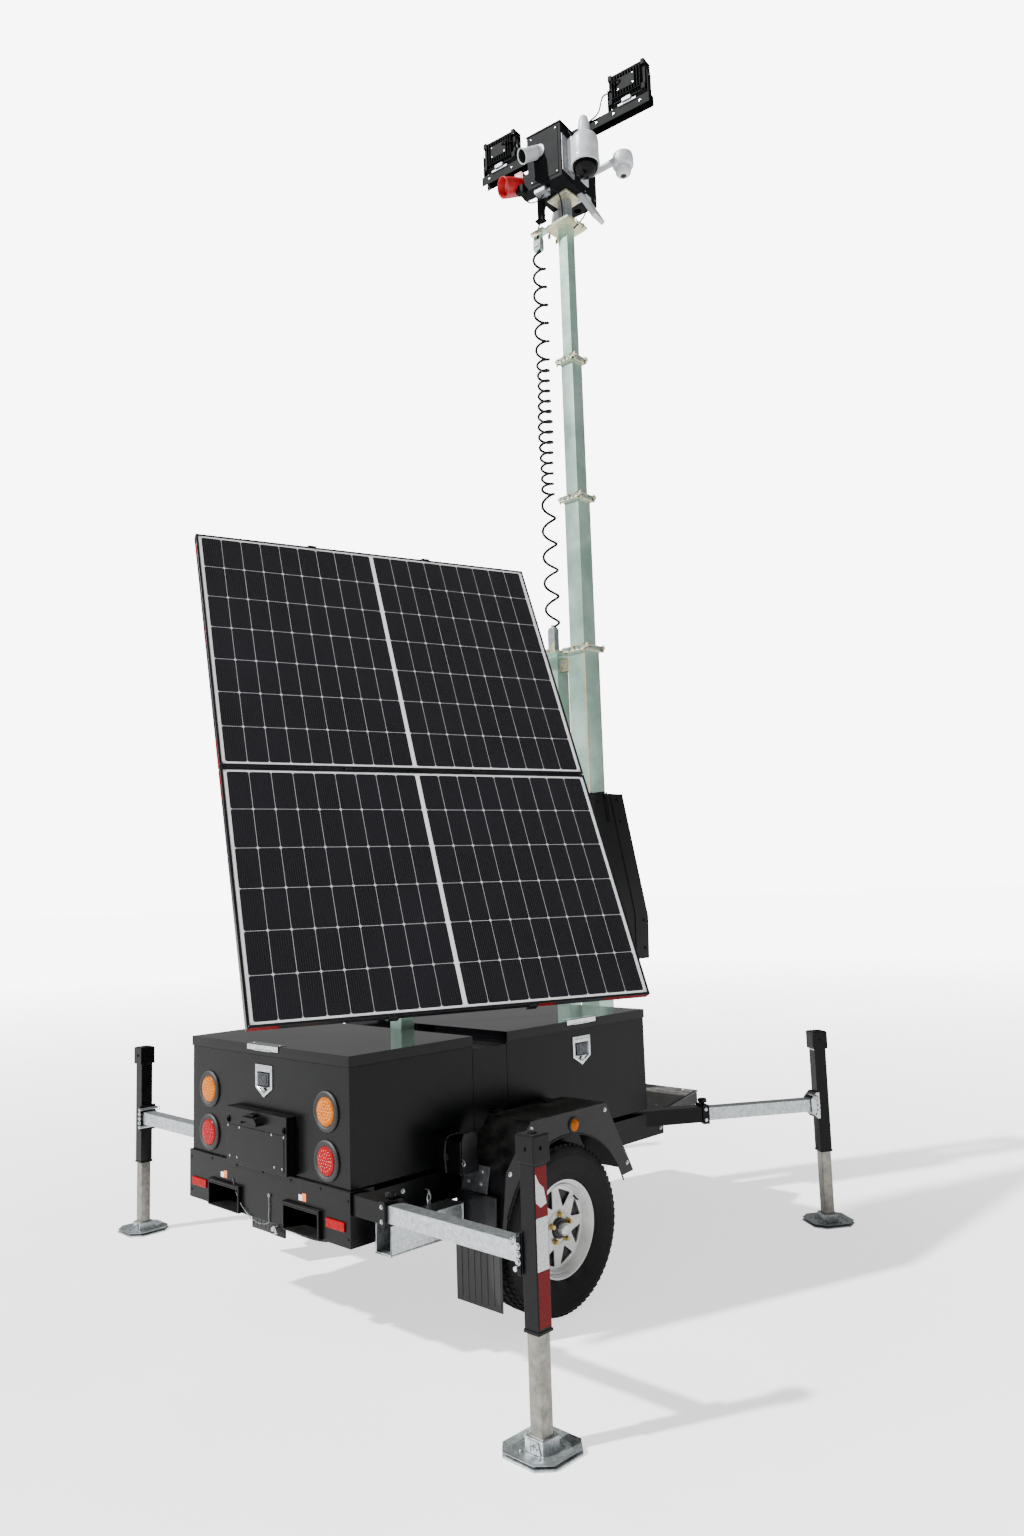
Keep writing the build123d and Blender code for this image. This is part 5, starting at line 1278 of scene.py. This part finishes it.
# ------------------------------------------------------------------ camera head
# A folded black box on the mast's top plate.  On it hang a domed camera, a bullet camera, a
# turret on an arm, two antennas, a siren and the bar that holds the two floodlights.
head_coat = surface("head_box_powder_coat", ("#08090a", "#101113"), 60, (0.5, 0.66), 0.25, grain=0.05,
                    Specular_IOR_Level=0.06)
white_polymer = surface("white_camera_polymer", ("#a9adb1", "#c6c9cb"), 60, (0.3, 0.42), 0.08, dust_and_sheen=0.08)
grey_casting = surface("grey_cast_aluminium", ("#75797d", "#9a9ea2"), 30, (0.36, 0.52), 0.3, metallic=0.55)
black_gloss_dome = surface("smoked_acrylic_dome", ("#020203", "#040405"), 200, (0.06, 0.1), 0.0,
                           Specular_IOR_Level=0.12)
red_housing = surface("red_siren_housing", ("#8c0710", "#b00c17"), 60, (0.28, 0.4), 0.15)
dressed("head_box", head_coat, 5, 3)
box_trim = Shape(head)
box_trim.box((-134, 119), (-209, 199), (344, 354)).box((-126, 111), (-201, 191), (354, 357))
box_trim.box((-133, -130), (-190, 180), (24, 330)).box((-110, 95), (-208, -205), (24, 330))
box_trim.piece("head_box_trim", head_coat, "mast_head", "black_enamel", 2.5, 3)
fasten("head_box_screws", "mast_head", zinc_plate,
       [((x, -208, z), BACK) for x in (-98, 84) for z in (36, 318)]
       + [((-133, y, z), LEFT) for y in (-176, 166) for z in (36, 318)]
       + [((115, y, z), RIGHT) for y in (60, 170) for z in (36, 318)]
       + [((x, y, 357), UP) for x in (-110, 95) for y in (-185, 0, 175)], 3.4, 2.6, 12, 0.7, 1.15, base=head)
# Mast top: plates of yellowed zinc with lugs, and the grey post between them.
top = Shape()
for z in ((5798, 5802), (5808, 5813)):
    top.prism([(-98, 1225), (-70, 1202), (70, 1202), (98, 1225), (98, 1375), (70, 1398), (-70, 1398),
               (-98, 1375)], z, "z")
for side in (-1, 1):
    for span in ((1262, 1268), (1332, 1338)):
        top.prism([(side * 96, 5813), (side * 118, 5800), (side * 118, 5772), (side * 96, 5772)], span, "y")
top.prism([(-190, 5800), (-95, 5800), (-95, 5772), (-176, 5772)], (1182, 1186), "y")
top.prism([(-78, 1222), (78, 1222), (78, 1378), (-78, 1378)], (5985, 5998), "z")
top.piece("mast_top_plates", cream_plate, "mast_head", "pale_zinc", 2, 3)
fasten("mast_top_bolts", "mast_head", zinc_plate,
       [((x, mast_y + y, 5813), UP) for x in (-75, 75) for y in (-75, 75)]
       + [((x, mast_y + y, 5985), DOWN) for x in (-62, 62) for y in (-62, 62)], 9, 7)
post = Shape()
post.box((-31, 31), (1269, 1331), (5812, 5986))
post.piece("mast_top_post", grey_casting, "mast_head", "pale_zinc", 4, 3)
plug = Shape()
plug.box((-184, -126), (1196, 1234), (5700, 5764)).box((-178, -132), (1192, 1238), (5712, 5730))
plug.bar((-155, 1215, 5700), (-155, 1215, 5680), 14, 24, 11)
plug.bar((-155, 1215, 5764), (-155, 1215, 5800), 11, 20)
plug.piece("cord_top_connector", grey_casting, "mast_head", "mill_aluminium", 3, 3)
foot_plug = Shape()
foot_plug.bar((-155, 1215, 3290), (-155, 1215, 3316), 13, 24, 11)
foot_plug.box((-182, -128), (1194, 1236), (3152, 3290))
foot_plug.piece("cord_foot_connector", grey_casting, "chassis", "mill_aluminium", 3, 3)

# Lamp bar: a black channel, with its bolts and the pivot bolts of the floodlights.
dressed("lamp_bar", head_coat, 2.5, 3)
fasten("lamp_bar_bolts", "mast_head", zinc_plate,
       [((x, -15, 380), BACK) for x in (-560, -380, -260, 260, 380, 560)]
       + [((x + side * 139, 15, 540), (side, 0, 0)) for x in (-475, 475) for side in (-1, 1)],
       5.5, 5, 6, 0.85, 1.15, base=head)
# Floodlights: a ribbed back casting, a black bezel and a grey-tinted lens over LED rows.
led_window = surface("led_window_glass", ("#6f7377", "#a3a7aa"), 22, (0.08, 0.16), 0.1, Coat_Weight=0.7)
led_chip = surface("led_chip_phosphor", ("#d8c25a", "#efe08e"), 3, (0.4, 0.5), 0.1)
for word, x in (("left", -475), ("right", 475)):
    body = "floodlight_" + word
    casting = Shape(head)
    casting.box((x - 124, x + 124), (-8, 30), (446, 634)).box((x - 125, x + 125), (38, 57), (445, 635))
    casting.box((x - 60, x + 60), (-27, -8), (500, 580))
    for side in (-1, 1):
        casting.bar((x + side * 110, 15, 540), (x + side * 124.5, 15, 540), 18, 24)
        casting.box((x + side * 100, x + side * 124), (-20, 45), (600, 635))
        casting.box((x + side * 100, x + side * 124), (-20, 45), (445, 480))
    for step in range(11):
        fin = x - 95 + 19 * step
        casting.prism([(-8, 456), (-26, 470), (-26, 610), (-8, 624)], (fin - 2, fin + 2))
    for z in (470, 610):
        casting.bar((x - 96, -20, z), (x + 96, -20, z), 3, 10)
    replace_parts(casting.piece(body + "_casting", head_coat, body, "lamp_casting", 2, 2), body)
    window = Shape(head)
    window.box((x - 106, x + 106), (54, 57.8), (462, 618))
    window.piece(body + "_window", led_window, body, "solar_glass", 1)
    fasten(body + "_leds", body, led_chip,
           [((x - 90 + 20 * column, 57.8, 480 + 24 * row), FRONT)
            for column in range(10) for row in range(6)],
           5, 1.2, 12, 0.7, 1.0, head)
    fasten(body + "_screws", body, zinc_plate,
           [((x + side * 117, 57, z), FRONT) for side in (-1, 1) for z in (453, 540, 627)]
           + [((x + side * 50, -27, z), BACK) for side in (-1, 1) for z in (510, 570)],
           3.6, 3, 12, 0.65, 1.1, base=head)
    bracket = Shape(head)
    bracket.box((x - 62, x + 62), (-22, 50), (405, 418)).prism(
        [(-30, 418), (-30, 440), (-16, 442), (40, 442), (44, 418)], (x - 30, x + 30))
    bracket.piece(body + "_bracket", grey_casting, "mast_head", "lamp_casting", 2, 3)
    lead = Shape(head)
    toward = -1 if x > 0 else 1
    lead.tube([(x + toward * 141, -4, 540), (x + toward * 154, -30, 522), (x + toward * 162, -46, 470),
               (x + toward * 190, -26, 420), (x + toward * 280, -18, 405),
               (x + toward * 350, -18, 370), (x + toward * 352, -30, 352)], 5, 10)
    lead.piece(body + "_lead", black_polyurethane, "mast_head", "cord_black")
    pigtail = Shape(head)
    pigtail.tube([(x + toward * 30, -26, 560), (x + toward * 55, -44, 566), (x + toward * 95, -42, 554),
                  (x + toward * 121, -9, 541)], 5, 10)
    pigtail.piece(body + "_pigtail", black_polyurethane, body, "cord_black")

# Domed camera: a white housing and cone on a bolted plate, and a smoked dome below.
ptz = Shape(head)
ptz.lathe([(54, 0), (54, 78), (57, 82), (66, 83.5), (182, 83.5), (206, 80), (222, 71), (238, 54), (250, 40),
           (258, 36), (300, 34), (330, 30), (352, 24), (362, 14), (366, 0)], (238, -134, 0), UP, 56)
ptz.lathe([(40, 78.6), (40, 86), (44, 88), (58, 88), (62, 84)], (238, -134, 0), UP, 56)
ptz.prism([(121, 60), (121, 250), (162, 262), (206, 244), (206, 205), (175, 190), (160, 120), (127, 60)],
          (-150, -118), "y")
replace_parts(ptz.piece("domed_camera_housing", white_polymer, "mast_head", "white_plastic", 1.5, 2),
            "ptz_housing")
plate = Shape(head)
plate.box((115, 121), (-199, -69), (38, 272)).box((121, 127), (-190, -78), (52, 258))
for z in (62, 248):
    for y in (-182, -86):
        plate.bar((127, y, z), (129, y, z), 8, 16)
plate.piece("domed_camera_plate", grey_casting, "mast_head", "mill_aluminium", 2, 3)
dome = Shape(head)
arc = [(45 - 78 * math.cos(a), 78 * math.sin(a)) for a in (math.radians(99 * k / 24) for k in range(25))]
dome.lathe(arc + [(56.5, 77.0), (56.5, 0)], (238, -134, 0), UP, 56)
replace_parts(dome.piece("smoked_dome", black_gloss_dome, "ptz_dome", "dark_dome"), "ptz_dome")
fasten("domed_camera_screws", "mast_head", zinc_plate,
       [((238 + 84 * math.cos(a), -134 + 84 * math.sin(a), 76), (math.cos(a), math.sin(a), 0))
        for a in (math.radians(30 + 60 * k) for k in range(6))], 3.5, 2, 12, 0.6, base=head)

# Bullet camera: a white barrel with its sunshield, black face and ball bracket.
aim = Vector((-0.43, -0.77, -0.47)).normalized()
tail_of = Vector((-46, -224, 206))
barrel = Shape(head)
barrel.lathe([(0, 0), (0, 30), (10, 39), (18, 41), (98, 41), (106, 44.5), (118, 44.5), (118, 40), (110, 38)],
             tail_of, aim, 40)
barrel.bar((-40, -205, 222), (-40, -214, 222), 40, 32).bar((-40, -214, 222), (-40, -246, 222), 24, 28, 18)
barrel.bar((-40, -236, 222), (-44, -256, 205), 20, 24)
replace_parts(barrel.piece("bullet_camera_barrel", white_polymer, "mast_head", "white_plastic", 1.5, 2),
            "bullet_camera")
face = Shape(head)
face.lathe([(100, 0), (100, 39.5), (113, 39.5), (109, 34), (109, 17), (114, 15), (114, 0)], tail_of, aim, 40)
face.piece("bullet_camera_face", black_gloss_dome, "mast_head", "dark_dome")

# Turret camera on its hollow arm, with an eyeball that hangs under a round skirt.
turret = Shape(head)
turret.tube([(116, 50, 122), (200, 50, 124), (290, 50, 126), (345, 50, 132)], 22, 16)
turret.box((115, 123), (8, 92), (76, 168))
turret.lathe([(60, 0), (60, 50), (64, 58), (72, 63), (120, 63), (146, 57), (156, 40), (158, 0)],
             (392, 50, 0), UP, 48)
turret.lathe([(8, 0), (8, 20), (12, 36), (24, 45), (44, 48), (62, 46)], (392, 50, 0), UP, 40)
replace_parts(turret.piece("turret_camera_body", white_polymer, "mast_head", "white_plastic", 1.5, 2),
            "turret_camera")
eye = Shape(head)
eye.lathe([(6, 0), (6, 17), (12, 19), (12, 0)], (392, 50, 0), UP, 32)
eye.piece("turret_camera_eye", black_gloss_dome, "mast_head", "dark_dome")

# Siren: a red flared horn on a black bracket, with a blank white plate.
horn = Shape(head)
throat = Vector((-202, -150, 90))
run = (Vector((-268, -285, 40)) - throat).normalized()
horn.lathe([(0, 0), (0, 44), (14, 52), (60, 56), (100, 60), (140, 62.5), (156, 63), (156, 57), (110, 44),
            (96, 20), (96, 0)], throat, run, 40)
horn.box((-256, -172), (-196, -128), (60, 150)).prism([(-250, 120), (-176, 120), (-186, 168), (-240, 168)],
                                                      (-190, -134), "y")
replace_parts(horn.piece("siren_housing", red_housing, "mast_head", "siren_red", 4, 3), "siren")
mount = Shape(head)
mount.box((-172, -130), (-196, -128), (8, 124)).box((-200, -130), (-206, -120), (2, 12))
mount.box((-204, -150), (-236, -196), (-6, 44))
mount.piece("siren_bracket", head_coat, "mast_head", "black_enamel", 3, 3)
label = Shape(head)
label.box((-244, -196), (-197.4, -196), (112, 142))
label.piece("siren_blank_plate", white_vinyl, "mast_head", "white_plastic", 0.4, 1)

# Panel antenna and dome antenna, under the box, and the junction box with its leads.
antenna = Shape(head)
antenna.box((128, 158), (10, 130), (-190, 30), Matrix.Rotation(math.radians(-28), 4, "Y"))
antenna.box((96, 132), (40, 100), (-40, 6))
antenna.lathe([(0, 0), (0, 46), (12, 58), (60, 62), (96, 54), (122, 34), (132, 0)], (-92, 96, -6), DOWN, 40)
antenna.piece("antennas", white_polymer, "mast_head", "white_plastic", 5, 3)
junction = Shape(head)
junction.box((-96, -20), (-196, -128), (-30, 0)).box((-90, -26), (-190, -134), (-33, -30))
junction.bar((-20, -160, -15), (0, -160, -15), 9, 16).bar((-58, -128, -15), (-58, -112, -15), 9, 16)
junction.piece("junction_box", grey_casting, "mast_head", "lamp_casting", 2.5, 3)
looms = Shape(head)
looms.tube([(0, -160, -15), (34, -158, -34), (44, -120, -60), (40, -96, -120), (36, -90, -190)], 4.5, 10)
looms.tube([(-58, -112, -15), (-70, -100, -60), (-130, -92, -140), (-150, -88, -200), (-154, -86, -240)],
           5, 10)
looms.tube([(-208, -160, 20), (-180, -150, -30), (-110, -150, -52), (-60, -156, -46), (-50, -160, -30)],
           4, 10)
looms.tube([(128, 60, -70), (120, 40, -130), (96, 10, -190), (70, -20, -230)], 4.5, 10)
looms.tube([(206, -134, 206), (176, -150, 236), (140, -160, 300), (118, -150, 350), (60, -60, 362)], 4.5, 10)
looms.piece("head_cable_looms", black_polyurethane, "mast_head", "cord_black")
arm_bracket = Shape(head)
arm_bracket.box((-122, -86), (-128, -92), (-150, 0)).box((-140, -80), (-132, -88), (-162, -150))
arm_bracket.piece("loom_bracket", head_coat, "mast_head", "black_enamel", 2.5, 3)
